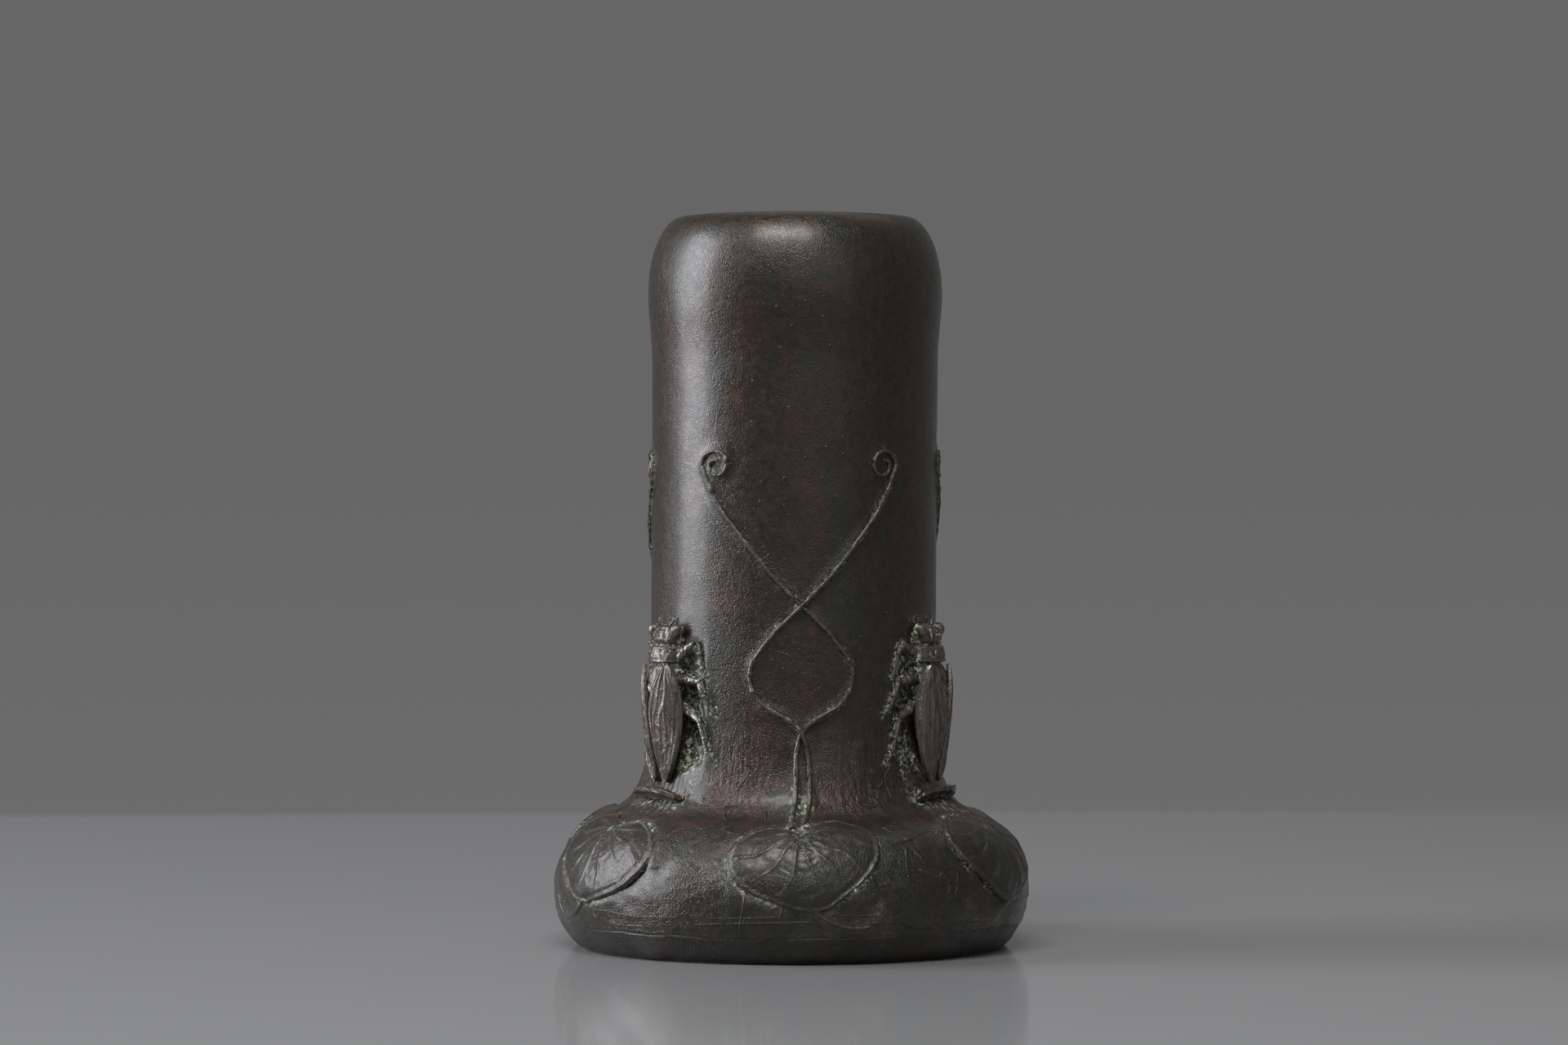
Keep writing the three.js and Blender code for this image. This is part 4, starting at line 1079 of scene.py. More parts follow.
class VASE_OT_cicadas(bpy.types.Operator):
    """Models the cicadas' heads, collars, shields, abdomens and eyes"""

    bl_idname = "vase.cicadas"
    bl_label = "Cicadas"

    def execute(self, context):
        plan = relief()
        below = np.concatenate([np.linspace(-0.7, 13, 74), np.linspace(13.3, plan.CICADA_LENGTH, 96)])
        phi = np.linspace(-math.pi / 2, math.pi / 2, 61)
        half, rise = plan.back_at(below)
        across = np.sin(phi)[None] * half[:, None]
        dome = np.cos(phi)[None] ** 0.9 * rise[:, None]
        side = np.abs(np.sin(phi))[None] + 0 * half[:, None]
        down = below[:, None] + 0 * phi[None]
        x = np.abs(across)
        # Grooves and ridges cut with a loop tool: brow, collar folds, the cross on the shield, abdomen rings
        cut = -0.5 * bell(down - 6.15, 0.4) - 0.6 * bell(down - 12.35, 0.42)
        cut += 0.5 * bell(down - 11.5, 0.4) * (1 - side**4) + 0.28 * bell(down - 7.0, 0.35)
        cut -= 0.45 * bell(x, 0.3) * ramp(down, 7.4, 8) * (1 - ramp(down, 10, 10.8))
        cut += 0.25 * bell(x - 0.75, 0.35) * ramp(down, 7.4, 8) * (1 - ramp(down, 10, 10.8))
        cut -= 0.55 * bell(x - 2.4 - 0.6 * (down - 7), 0.38) * ramp(down, 7.3, 8) * (1 - ramp(down, 10.2, 11))
        cut -= 0.4 * bell(x - 6.2 + 0.5 * (down - 7.4), 0.36) * ramp(down, 7.3, 8) * (1 - ramp(down, 9.8, 10.8))
        cut -= 0.45 * bell(x - 1.7 - 0.28 * (down - 12.8), 0.36) * ramp(down, 12.8, 14) * (1 - ramp(down, 18, 20))
        cut -= 0.35 * bell(x - 4.3 - 0.2 * (down - 12.8), 0.36) * ramp(down, 12.8, 14) * (1 - ramp(down, 15, 18))
        cut += 0.75 * bell(x - np.abs(down - 21.4) * 0.95, 0.5) * bell(down - 21.4, 2.1)
        cut += 0.3 * np.sin(down * 4.2) * (1 - ramp(down, 0.9, 1.9)) * (1 - ramp(side, 0.4, 0.6))
        cut -= 0.45 * bell(x - 2.7 - 0.25 * down, 0.4) * ramp(down, 0.4, 1.2) * (1 - ramp(down, 4.6, 5.6))
        cut -= 0.3 * bell(x, 0.28) * ramp(down, 3.4, 4.2) * (1 - ramp(down, 5, 5.6))
        rings = (down - 23.9) % 2.55
        cut -= 0.38 * bell(np.minimum(rings, 2.55 - rings), 0.3) * ramp(down, 23.2, 24)
        cut += 0.22 * bell(x, 0.8) * ramp(down, 24, 26)
        cut += 0.07 * np.sin(x * 7 + down * 1.3) * ramp(down, 13, 14) * (1 - ramp(down, 19, 21))
        out = dome + cut * np.cos(phi)[None] ** 0.5
        grid_out = np.concatenate([np.full((len(below), 1), -3.0), out, np.full((len(below), 1), -3.0)], axis=1)
        grid_across = np.concatenate([across[:, :1], across, across[:, -1:]], axis=1)
        worn = np.clip(0.3 + cut * 1.9 + 0.3 * (np.cos(phi)[None] - 0.6), 0, 1) * np.cos(phi)[None]
        # Cut grooves, the flanks where the back tucks into the wall and the skirt under it take salts and painted shade
        deep_and_shade = np.clip(-cut * 2.4, 0, 1) * 0.9 + ramp(side, 0.86, 1.0) * 0.9
        pad = np.ones((len(below), 1))
        for name, degrees in plan.CICADAS:
            angle = math.radians(degrees)
            grid = plan.cicada_place(angle, grid_across, np.broadcast_to(below[:, None], grid_across.shape), grid_out)
            lumps = 0.16 * uneven(grid, 3.4, 71) + 0.07 * uneven(grid, 1.3, 73)
            grid = grid + lumps[..., None] * outward(angle)
            faces = capped_faces(*grid.shape[:2])
            marks = {
                "hollow": np.concatenate([pad, deep_and_shade, pad], axis=1).ravel(),
                "rubbed": np.concatenate([0 * pad, worn, 0 * pad], axis=1).ravel(),
            }
            parts = [(grid, faces, marks)]
            axes = [np.array([math.cos(angle), math.sin(angle), 0]), np.array([0, 0, -1.0]), outward(angle)]
            eye_half, eye_rise = plan.back_at(1.5)
            radius = plan.mm["eye_radius"]
            for turn in (-1, 1):
                centre = plan.cicada_place(angle, turn * eye_half, 1.5, 0.45 * eye_rise)
                points, faces = ball(centre, (radius * 0.95, radius * 1.05, radius), axes, 22, 36)
                facing = (points - centre) @ axes[2] / radius
                # The half of each eye that faces the wall takes painted shade
                marks = {"hollow": ramp(-facing, -0.3, 0.3), "rubbed": ramp(facing, 0.2, 0.9) * 0.8}
                parts.append((points, faces, marks))
            for spot_x, spot_below in ((0, 2.0), (-1.0, 3.1), (1.0, 3.1)):
                level = float(plan.back_at(spot_below)[1])
                centre = plan.cicada_place(angle, spot_x, spot_below, level - 0.05)
                points, faces = ball(centre, (0.5, 0.5, 0.45), axes, 10, 16)
                parts.append((points, faces, {"hollow": 0.0, "rubbed": 0.9}))
            finish_piece(shell(f"cicada_{name}_back", *gather(parts)), "figure_bronze", f"cicada_{name}")
        return {"FINISHED"}


class VASE_OT_legs(bpy.types.Operator):
    """Lays the cicadas' jointed legs and feelers as knotted wax threads"""

    bl_idname = "vase.legs"
    bl_label = "Cicada legs"

    # How a leg swells and sinks from its root to its foot: joints, and girth or rise there
    GIRTH = ((0, 0.6, 1.7, 2, 2.4, 3, 4, 5), (1.3, 1.9, 1.5, 1.05, 1.15, 0.88, 0.7, 0.48))
    RISE = ((0, 1, 2, 3, 4, 5), (1.9, 1.8, 1.5, 0.9, 0.45, 0.2))
    WAX = {"knot_swell": 1.2, "grain_size": 0.0013, "grain_depth": 0.00022}

    def execute(self, context):
        plan = relief()
        width = plan.mm["leg_width"] / 2
        for name, degrees in plan.CICADAS:
            lines = []
            for leg in plan.legs[name]:
                step = leg["step"]
                girth = width * np.interp(step, *self.GIRTH)
                girth = girth * (1 + 0.16 * uneven(plan.outline.skin(leg["angle"], leg["run"]), 2.2, 77))
                ground = plan.ground(leg["angle"], leg["run"])[0]
                lift = np.maximum(ground, -1.2) + np.interp(step, *self.RISE)
                places = plan.outline.skin(leg["angle"], leg["run"], lift)
                knots = (np.abs(step - np.round(step)) < 0.02) & (step > 0.5) & (step < 4.9)
                lines.append((places, girth, knots))
            s = np.linspace(0, 1, 14)
            for side in (-1, 1):
                places = plan.cicada_place(
                    math.radians(degrees), side * (2.6 + 2.2 * s), -0.2 - 3.2 * s + 0.8 * s**2, 2.2 - 1.6 * s
                )
                lines.append((places, 0.42 - 0.22 * s, s * 0))
            threads(f"cicada_{name}_legs", lines, "figure_bronze", f"cicada_{name}", **self.WAX)
        return {"FINISHED"}


class VASE_OT_wings(bpy.types.Operator):
    """Models the folded forewings, roofed over the abdomen, with their raised veins"""

    bl_idname = "vase.wings"
    bl_label = "Forewings"

    # A wing's two edges, as (share of its length, inner edge, outer edge as shares of its width)
    STATIONS = (
        (0, 0.5, 0.72),
        (0.03, 0.42, 0.79),
        (0.08, 0.32, 0.86),
        (0.22, 0.14, 0.97),
        (0.4, 0, 1),
        (0.58, 0, 0.97),
        (0.74, 0.01, 0.86),
        (0.87, 0.05, 0.68),
        (0.96, 0.12, 0.46),
        (1, 0.2, 0.34),
    )
    # The line along which a wing is folded, as (below the crown, rise)
    FOLD = ((12.7, 7.2), (17, 8.4), (22, 8.7), (30, 8.1), (38, 6.7), (45, 4.9), (50.7, 3.6))
    # Veins as (share of the length, share across): the long ones fan from the hinge, short ones tie them
    VEINS = (
        ((0, 0.72), (0.2, 0.86), (0.45, 0.87), (0.7, 0.86), (0.9, 0.78)),
        ((0, 0.6), (0.18, 0.66), (0.36, 0.62), (0.6, 0.64), (0.82, 0.62), (0.97, 0.6)),
        ((0.3, 0.63), (0.45, 0.46), (0.64, 0.42), (0.84, 0.4), (0.96, 0.42)),
        ((0, 0.42), (0.16, 0.38), (0.34, 0.34), (0.46, 0.22), (0.62, 0.18), (0.8, 0.16)),
        ((0.02, 0.25), (0.2, 0.16), (0.4, 0.1), (0.55, 0.08)),
        ((0.36, 0.62), (0.4, 0.5), (0.46, 0.45)),
        ((0.46, 0.22), (0.5, 0.34), (0.54, 0.44)),
        ((0.62, 0.42), (0.65, 0.3), (0.63, 0.18)),
        ((0.68, 0.86), (0.66, 0.74), (0.7, 0.64)),
        ((0.72, 0.64), (0.74, 0.52), (0.78, 0.41)),
        ((0.82, 0.8), (0.84, 0.71), (0.83, 0.62)),
        ((0.86, 0.62), (0.88, 0.5), (0.87, 0.4)),
    )

    def execute(self, context):
        plan = relief()
        width, thick, reach = (plan.mm[k] for k in ("wing_width", "wing_thickness", "wing_length"))
        stations, _ = spline(self.STATIONS, 14)
        share = np.clip(stations[:, 0], 0, 1)[:, None]
        below = 12.7 + share * reach
        fold, _ = spline(self.FOLD, 12)
        crest = np.interp(below, fold[:, 0], fold[:, 1])
        edge = 2.4 * (1 - 0.25 * share)

        def roof(at):
            """The tented wing: nearly straight from the fold, then turned down to its outer edge."""
            return crest - (crest - edge) * (0.45 * at / width + 0.55 * (at / width) ** 4)

        inner = 0.5 + stations[:, 1:2] * (width - 0.5)
        outer = 0.5 + stations[:, 2:3] * (width - 0.5)
        span = np.concatenate([[0, 0.012, 0.035], np.linspace(0.07, 0.93, 36), [0.965, 0.988, 1]])[None]
        across = inner + (outer - inner) * span
        flat = np.stack([share * reach + 0 * span, across, 0 * across], axis=-1)
        lines = []
        for vein in self.VEINS:
            fine, _ = spline(vein, 24)
            inner_at = np.interp(fine[:, 0], share[:, 0], inner[:, 0])
            outer_at = np.interp(fine[:, 0], share[:, 0], outer[:, 0])
            vein_across = inner_at + (outer_at - inner_at) * fine[:, 1]
            lines.append(np.stack([fine[:, 0] * reach, vein_across, 0 * fine[:, 0]], axis=-1))
        gap = plan.distance(plan.tree(lines), flat)
        from_edge = np.minimum(across - inner, outer - across)
        margin = bell(from_edge - 0.42, 0.34)
        vein = np.maximum(bell(gap, 0.3), margin)
        sag = -0.1 * ramp(gap, 0.5, 2.2) * ramp(from_edge, 0.4, 1.6)
        sag += 0.014 * np.sin(across * 6.5 + 0.35 * np.sin(below * 0.7)) * ramp(gap, 0.3, 0.7)
        round_off = -0.75 * thick * (1 - np.sqrt(np.clip(1 - (1 - np.clip(from_edge / 0.45, 0, 1)) ** 2, 0, 1)))
        top = roof(across) + thick - 0.12 + plan.mm["vein_height"] * vein + sag + round_off
        under_across = inner + (outer - inner) * np.linspace(1, 0, 14)[None]
        under = roof(under_across)
        # The underside takes painted shade all over, and the hollows between the veins a little salt and painted shade
        marks = {
            "hollow": np.concatenate([0.16 * ramp(gap, 0.25, 0.7) * (1 - ramp(gap, 0.9, 1.6)), 1 + 0 * under], axis=1),
            "rubbed": np.concatenate([0.38 + 0.45 * vein + 0.2 * margin, 0 * under], axis=1),
        }
        out = np.concatenate([top, under], axis=1)
        for name, degrees in plan.CICADAS:
            angle = math.radians(degrees)
            for letter, side in (("a", -1), ("b", 1)):
                everywhere = np.concatenate([across, under_across], axis=1) * side
                grid = plan.cicada_place(angle, everywhere, np.broadcast_to(below, out.shape), out)
                lumps = 0.1 * uneven(grid, 5, 83) + 0.03 * uneven(grid, 1.8, 85)
                grid = grid + lumps[..., None] * outward(angle)
                wing = shell(f"cicada_{name}_forewing_{letter}", grid, capped_faces(*grid.shape[:2]), marks)
                finish_piece(wing, "wing_bronze", f"cicada_{name}_wing_{letter}")
        return {"FINISHED"}


class VASE_OT_tendrils(bpy.types.Operator):
    """Lays the six knotted tendrils that twine up the neck"""

    bl_idname = "vase.tendrils"
    bl_label = "Tendrils"

    def execute(self, context):
        plan = relief()
        for name, route in plan.tendrils.items():
            plain = plan.outline.skin(route["angle"], route["run"])
            swell = (1 + 0.35 * route["swell"]) * (1 + 0.2 * uneven(plain, 4.5, 87) + 0.12 * uneven(plain, 1.8, 89))
            angle = route["angle"] + 0.3 * uneven(plain, 5, 93) / plan.neck
            places = plan.outline.skin(angle, route["run"], route["lift"] - 0.25 + 0.25 * swell)
            line = (places, route["girth"] * swell, route["knot"])
            threads(f"{name}_thread", [line], "tendril_bronze", name, knot_swell=1.45, grain_depth=0.00026)
        return {"FINISHED"}


class VASE_OT_leaves(bpy.types.Operator):
    """Models the pad leaves on the bulb, veined and tool-marked, with their drip tips"""

    bl_idname = "vase.leaves"
    bl_label = "Pad leaves"

    SPOKES = 300
    # How far above a leaf's middle its veins spring
    VEIN_ROOT = 7.5

    def execute(self, context):
        plan = relief()
        edge, crown = plan.mm["leaf_edge"], plan.mm["leaf_crown"]
        spokes = self.SPOKES
        turn = np.arange(spokes) / spokes * FULL_TURN
        rings = np.concatenate([np.linspace(0.03, 0.92, 46), [0.935, 0.95, 0.965, 0.978, 0.99, 1.0]])[:, None]
        edge_x, edge_y = plan.leaf_edge(turn)
        for name, (angle, tilt) in plan.leaves.items():
            seed = 100 + 5 * int(name[-1])
            rim = np.stack([30 * np.cos(turn), 30 * np.sin(turn), 0 * turn], -1)
            ragged = 1 + 0.018 * uneven(rim, 7, seed) + 0.012 * uneven(rim, 2.6, seed + 1)
            x, y = edge_x * ragged * rings, edge_y * ragged * rings
            flat = np.stack([x, y, 0 * x], -1)
            # Veins fan from the notch, where the tendrils spring; strokes of the tool follow the edge
            heading = np.arctan2(x, self.VEIN_ROOT - y)
            far = np.hypot(x, self.VEIN_ROOT - y)
            fan = np.abs(((heading + 0.06 * np.sin(far / 3)) / 0.42 + 0.5) % 1 - 0.5) * 0.42 * far
            vein = bell(fan, 0.42 + 0.16 * (1 - far / 30)) * ramp(far, 1.5, 5) * (1 - ramp(rings, 0.84, 0.97))
            drift = 1.2 * uneven(flat, 12, seed + 3)
            strokes = np.sin((rings * 15.5 * (1 + 0.12 * uneven(flat, 9, seed + 2)) + drift) * 4.6)
            patch = plan.patchy(flat, 8, seed + 4, -0.1, 0.5)
            body = 0.3 * uneven(flat, 9, seed + 6) + 0.17 * uneven(flat, 3.4, seed + 9)
            body = body + 0.05 * uneven(flat, 1.7, seed + 10)
            fades = plan.patchy(flat, 8, seed + 11)
            vein = vein * (0.25 + 0.75 * fades)
            rim_line = bell(rings - 0.958, 0.022) * (0.2 + 0.8 * plan.patchy(flat, 10, seed + 13))
            lift = 0.3 + edge + crown * (1 - rings**2) + 0.34 * vein + 0.045 * strokes * patch + body
            lift += 0.24 * rim_line - 0.2 * bell(rings - 0.9, 0.035)
            lift -= 0.5 * ramp(rings, 0.975, 1.0)
            grid = plan.outline.skin(*plan.leaf_place(x, y, angle, tilt), lift)
            foot_x, foot_y = edge_x * ragged * 1.01, edge_y * ragged * 1.01
            foot = plan.outline.skin(*plan.leaf_place(foot_x, foot_y, angle, tilt), -1.2)[None]
            floor = plan.outline.skin(*plan.leaf_place(foot_x * 0.9, foot_y * 0.9, angle, tilt), -1.5)[None]
            top = plan.outline.skin(*plan.leaf_place(np.array(0.0), np.array(0.0), angle, tilt), 0.3 + edge + crown)
            points = np.concatenate([top[None], grid.reshape(-1, 3), foot.reshape(-1, 3), floor.reshape(-1, 3)])
            count = len(rings) + 2
            faces = strip_faces(count, spokes, start=1)
            faces += [[0, 1 + i, 1 + (i + 1) % spokes] for i in range(spokes)]
            faces.append([1 + (count - 1) * spokes + i for i in range(spokes)])
            worn = 0.35 * vein + 0.6 * rim_line + 0.25 * ramp(body, 0.1, 0.35)
            # Grooves, the edge, the notch and the skirt under the leaf take salts and painted shade
            deep_and_shade = 0.3 * bell(fan - 1.0, 0.4) * ramp(far, 2, 6) * fades + 0.45 * ramp(rings, 0.985, 1.0)
            deep_and_shade += 0.7 * bell(far - 1, 3)
            skirt = np.ones(2 * spokes)
            marks = {
                "hollow": np.concatenate([[0], deep_and_shade.ravel(), skirt]),
                "rubbed": np.concatenate([[0], np.clip(worn, 0, 1).ravel(), 0 * skirt]),
            }
            finish_piece(shell(f"{name}_blade", points, faces, marks), "leaf_bronze", name)
            tail_angle, tail_run, share = plan.leaf_tail(angle, tilt)
            girth = 1.1 * (1 - 0.6 * share)
            places = plan.outline.skin(tail_angle, tail_run, 0.3 + 0.1 * (1 - share))
            threads(f"{name}_tip", [(places, girth, 0 * share)], "leaf_bronze", name, rub=0.5, damp=0.7)
        return {"FINISHED"}


class VASE_OT_drawn_lines(bpy.types.Operator):
    """Draws thin wax lines on the bulb: two above the foot, stray strokes, and pleats under the perches"""

    bl_idname = "vase.drawn_lines"
    bl_label = "Drawn lines"

    def execute(self, context):
        plan = relief()
        outline = plan.outline

        def drawn(angle, run, girth, sink):
            places = outline.skin(angle, run, plan.ground(angle, run)[0] - sink * girth)
            return places, girth * (1 + 0.25 * uneven(places, 3, 97) + 0.15 * uneven(places, 1.2, 99)), 0 * angle

        angle = np.linspace(0, FULL_TURN, 900)
        foot_lines = []
        for number, line in enumerate(plan.FOOT_LINES):
            run = outline.run_at(plan.foot_line(angle, *line))
            hidden = 1 - plan.patchy(outline.skin(angle, run), 15, 101 + number, -0.15, 0.3)
            foot_lines.append(drawn(angle, run, 0.27 - 0.04 * number, 0.5 + 2.4 * hidden))
        threads("foot_lines", foot_lines, "body_bronze", "vase_body", sides=8, grain_depth=0.00016, rub=0.0, damp=0.75)

        strokes = []
        chance = np.random.default_rng(16)
        for number in range(7):
            middle, level = math.radians(30 + 51.4 * number + chance.uniform(-9, 9)), chance.uniform(22, 37)
            heading, bend = chance.uniform(-0.45, 0.45), chance.uniform(-0.6, 0.6) / 26
            reach = chance.uniform(8, 15)
            s = np.linspace(-reach, reach, 60)
            swing = heading + bend * s + 0.12 * np.sin(s / 2.3)
            across, up = np.cumsum(np.cos(swing)) * reach / 30, np.cumsum(np.sin(swing)) * reach / 30
            run = outline.run_at(level) + up - up.mean()
            girth = chance.uniform(0.5, 0.85) * np.sqrt(np.clip(1 - (s / reach) ** 2, 0.05, 1))
            stray = middle + (across - across.mean()) / 74
            hidden = 1 - plan.patchy(outline.skin(stray, run), 9, 107, -0.3, 0.1)
            strokes.append(drawn(stray, np.clip(run, plan.seam + 4, None), girth, 0.5 + 1.2 * hidden))
        threads("bulb_strokes", strokes, "body_bronze", "vase_body", sides=10, grain_depth=0.00024, rub=0.25, damp=0.25)

        for number, (name, degrees) in enumerate(plan.CICADAS):
            folds = []
            for place in np.arange(-4, 5):
                share = np.linspace(0, 1, 26)
                low = 40.5 + 1.6 * math.sin(place * 2.1 + number) + 0.12 * place**2
                run = outline.run_at(50.4 - (50.4 - low) * share)
                across = 2.15 * place * (1 + 0.12 * share) + 0.3 * np.sin(4 * share + 1.7 * place)
                girth = (0.98 - 0.1 * abs(place)) * (0.5 + 0.5 * np.sin(math.pi * (0.25 + 0.75 * share)))
                folds.append(drawn(math.radians(degrees) + across / plan.neck, run, girth, 0.35 + 0.5 * share))
            wax = {"sides": 12, "grain_depth": 0.0002, "rub": 0.4, "damp": 0.3}
            threads(f"perch_{name}_pleats", folds, "body_bronze", "vase_body", **wax)
        return {"FINISHED"}


class VASE_OT_perches(bpy.types.Operator):
    """Models the short barky stalk under each cicada's wing tips"""

    bl_idname = "vase.perches"
    bl_label = "Perches"

    def execute(self, context):
        plan = relief()
        rise = plan.mm["perch_rise"]
        share = np.linspace(-1, 1, 90)[:, None]
        phi = np.linspace(-math.pi / 2, math.pi / 2, 33)[None]
        for name, degrees in plan.CICADAS:
            centre = math.radians(degrees)
            reach = plan.mm["perch_length"] / 2 / plan.neck
            swell = 0.62 + 0.38 * np.sin(math.pi * (share + 1) / 2)
            lumps = np.stack([share * 12 + 0 * phi, 3 * phi + 0 * share, degrees + 0 * share * phi], -1)
            bark = 1 + 0.2 * uneven(lumps, 4.2, 91) + 0.12 * uneven(lumps, 1.7, 95) + 0.06 * np.sin(9 * phi + 2 * share)
            half = 2.2 * swell * bark * (1 - 0.6 * ramp(np.abs(share), 0.9, 1.0))
            high = rise * swell * bark * (1 - 0.75 * ramp(np.abs(share), 0.9, 1.0))
            run = plan.outline.run_at(51.2 - 1.4 * share**2) + half * np.sin(phi)
            lift = -1.4 + (high + 1.7) * np.cos(phi)
            angle = centre + share * reach + 0 * phi
            grid = plan.outline.skin(angle, run, lift)
            ridge = np.clip((bark - 1) * 4, 0, 1)
            # The flanks of the stalk, where it meets the wall, take salts and painted shade
            marks = {
                "hollow": np.clip(1.1 - 1.5 * np.cos(phi) + 0 * share, 0, 1),
                "rubbed": np.clip(ramp(np.cos(phi), 0.75, 1) * (0.45 + ridge), 0, 1),
            }
            stalk = shell(f"perch_{name}_stalk", grid, capped_faces(*grid.shape[:2]), marks)
            finish_piece(stalk, "leaf_bronze", f"perch_{name}")
        return {"FINISHED"}


class VASE_OT_stage(bpy.types.Operator):
    """Sets up the table top, the soft lamps, the plain surroundings and the camera"""

    bl_idname = "vase.stage"
    bl_label = "Studio"

    # Half the side of the table top, and how far from its middle it starts to fade and has faded out
    HALF_TABLE, FADE = 0.66, (0.6, 0.655)
    # Name, place, size across and up, watts and tint
    LAMPS = (
        ("Tall soft box, left", (-2.3, 0.08, 0.86), (1.25, 1.95), 83, (0.91, 0.93, 1)),
        ("Overhead soft box", (-0.16, -0.67, 1.16), (0.75, 0.34), 12, (1, 1, 1)),
        ("Front bounce", (0.9, -2.5, 1.1), (2.4, 1.6), 8.5, (1, 0.98, 0.96)),
        ("High back fill", (0.3, 0.8, 1.5), (1.4, 0.7), 1.4, (1, 0.99, 0.97)),
    )
    LAMP_AIM = Vector((0, 0, 0.12))
    # A long lens, slightly left of the vase's middle: metres away and up, and degrees round, aside and tipped
    CAMERA_AWAY, CAMERA_HEIGHT, CAMERA_LENS = 1.57, 0.152, 109.1
    CAMERA_TURNS = (3.2, 0.113, -0.463)

    def execute(self, context):
        context.scene.view_settings.view_transform = "Standard"
        table = self.table(context.scene.vase_colours)
        self.room(context.scene)
        self.lamps(table)
        context.scene.camera = self.camera()
        return {"FINISHED"}

    def table(self, tints):
        """The table top, under a lacquer that is rubbed to a satin: it mirrors softly at a low angle."""
        half = self.HALF_TABLE
        mesh = bpy.data.meshes.new("table_top")
        mesh.from_pydata([(-half, -half, 0), (half, -half, 0), (half, half, 0), (-half, half, 0)], [], [(0, 1, 2, 3)])
        table = new_object("table_top", mesh)
        material, tree = blank_material("Satin lacquer, pale grey")
        mesh.materials.append(material)
        add = partial(node, tree)
        place = add("ShaderNodeTexCoord", out="Object")
        rough = add(RANGE, {0: add(NOISE, {"Vector": place, "Scale": 9, "Detail": 3}), 3: 0.1, 4: 0.13})
        surface = {"Base Color": [*tints.floor, 1], "Roughness": rough, "IOR": 1.56}
        surface = add("ShaderNodeBsdfPrincipled", surface)
        # The top fades out at its edges, as the far edge does out of focus
        axes = add("ShaderNodeSeparateXYZ", [place], out=None)
        reach = add(MATH, [add(MATH, [axes[i]], operation="ABSOLUTE") for i in (0, 1)], operation="MAXIMUM")
        fade = add(RANGE, [reach, *self.FADE], **SOFT)
        surface = add("ShaderNodeMixShader", [fade, surface, add("ShaderNodeBsdfTransparent")])
        add("ShaderNodeOutputMaterial", {"Surface": surface}, out=None)
        return table

    def room(self, scene):
        """The plain grey room: seen as the wall's colour, and a weak even light."""
        scene.world = bpy.data.worlds.new("Plain grey room")
        scene.world.use_nodes = True
        scene.world.node_tree.nodes.clear()
        add = partial(node, scene.world.node_tree)
        path = add("ShaderNodeLightPath", out=None)
        seen = path["Is Camera Ray"]
        for ray in ("Is Glossy Ray", "Is Transmission Ray"):
            seen = add(MATH, [seen, path[ray]], operation="MAXIMUM")
        fill = add("ShaderNodeBackground", [(0.9, 0.95, 1, 1), 0.2])
        # The wall is painted a little lighter low down, as light from the table would make it
        upward = add("ShaderNodeSeparateXYZ", [add("ShaderNodeTexCoord", out="Generated")], out=2)
        level = add(RANGE, [upward, -0.07, 0.01, 1.13, 1])
        wall = add("ShaderNodeBackground", [[*scene.vase_colours.wall, 1], level])
        both = add("ShaderNodeMixShader", [seen, fill, wall])
        add("ShaderNodeOutputWorld", {"Surface": both}, out=None)

    def lamps(self, table):
        """Each lamp is mirrored in the bronze, and its twin lights the table without showing in it."""
        groups = {}
        for state in ("EXCLUDE", "INCLUDE"):
            groups[state] = bpy.data.collections.new(f"Table, {state.lower()}")
            groups[state].objects.link(table)
            groups[state].collection_objects[0].light_linking.link_state = state
        for name, place, size, power, tint in self.LAMPS:
            for state, group in groups.items():
                lamp = bpy.data.lights.new(name, "AREA")
                lamp.shape = "RECTANGLE"
                lamp.size, lamp.size_y = size
                lamp.energy, lamp.color = power, tint
                obj = new_object(name, lamp)
                obj.location = place
                obj.rotation_euler = (self.LAMP_AIM - Vector(place)).to_track_quat("-Z", "Y").to_euler()
                obj.visible_camera = False
                obj.visible_glossy = state == "EXCLUDE"
                obj.light_linking.receiver_collection = group

    def camera(self):
        turn, aside, pitch = map(math.radians, self.CAMERA_TURNS)
        lens = bpy.data.cameras.new("Studio camera")
        lens.lens = self.CAMERA_LENS
        lens.sensor_width = 36
        lens.clip_start, lens.clip_end = 0.05, 50
        camera = new_object("Studio camera", lens)
        camera.location = turned(self.CAMERA_AWAY, -turn, self.CAMERA_HEIGHT)
        heading = math.atan2(math.cos(turn), math.sin(turn)) + aside
        look = Vector((math.cos(heading) * math.cos(pitch), math.sin(heading) * math.cos(pitch), math.sin(pitch)))
        camera.rotation_euler = look.to_track_quat("-Z", "Y").to_euler()
        return camera


class VASE_PT_panel(bpy.types.Panel):
    """Lists the pieces of the vase"""

    bl_idname = "VASE_PT_panel"
    bl_label = "Bronze vase"
    bl_space_type = "VIEW_3D"
    bl_region_type = "UI"
    bl_category = "Vase"

    def draw(self, context):
        for operator in OPERATORS:
            self.layout.operator(operator.bl_idname)
        for group in (context.scene.vase_casting, context.scene.vase_relief, context.scene.vase_colours):
            box = self.layout.box()
            for name in group.__annotations__:
                box.prop(group, name)


GROUPS = {"vase_casting": CastingSizes, "vase_relief": ReliefSizes, "vase_colours": PatinaColours}
OPERATORS = (
    VASE_OT_body,
    VASE_OT_crust,
    VASE_OT_base,
    VASE_OT_cicadas,
    VASE_OT_legs,
    VASE_OT_wings,
    VASE_OT_tendrils,
    VASE_OT_leaves,
    VASE_OT_drawn_lines,
    VASE_OT_perches,
    VASE_OT_stage,
)


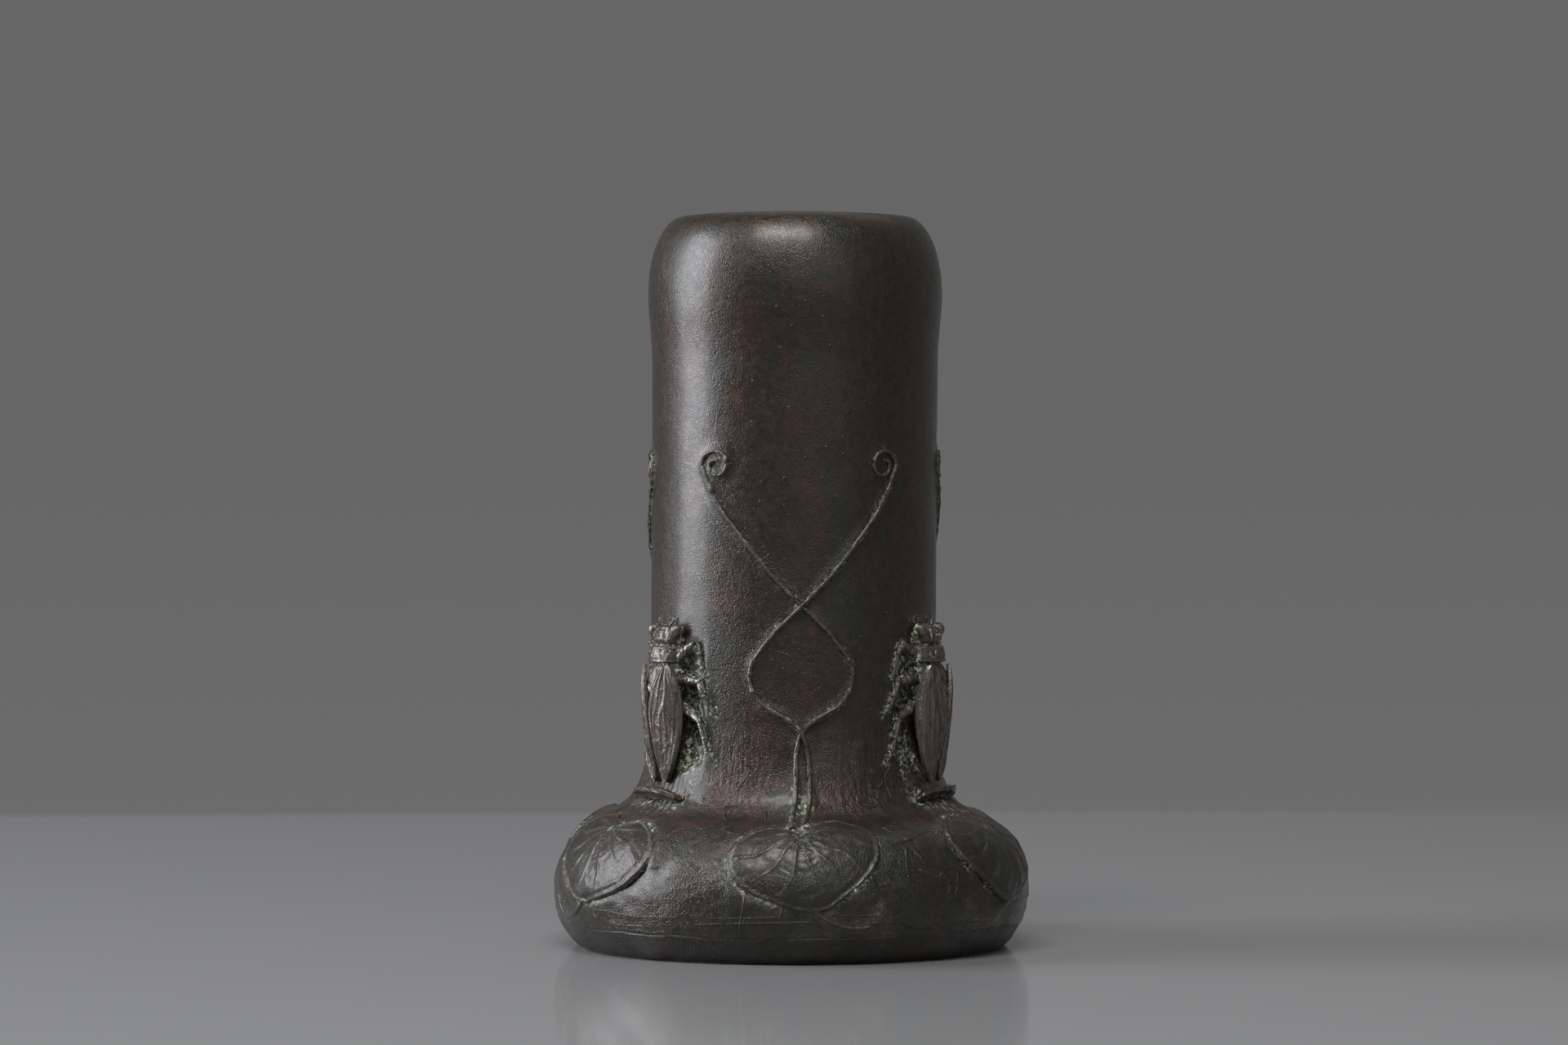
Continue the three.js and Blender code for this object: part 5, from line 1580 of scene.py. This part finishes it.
def register():
    for name, group in GROUPS.items():
        bpy.utils.register_class(group)
        setattr(bpy.types.Scene, name, bpy.props.PointerProperty(type=group))
    for item in (*OPERATORS, VASE_PT_panel):
        bpy.utils.register_class(item)


def unregister():
    for item in (VASE_PT_panel, *reversed(OPERATORS)):
        bpy.utils.unregister_class(item)
    for name, group in reversed(GROUPS.items()):
        delattr(bpy.types.Scene, name)
        bpy.utils.unregister_class(group)


def main():
    register()
    for operator in OPERATORS:
        group, name = operator.bl_idname.split(".")
        getattr(getattr(bpy.ops, group), name)()


if __name__ == "__main__":
    main()
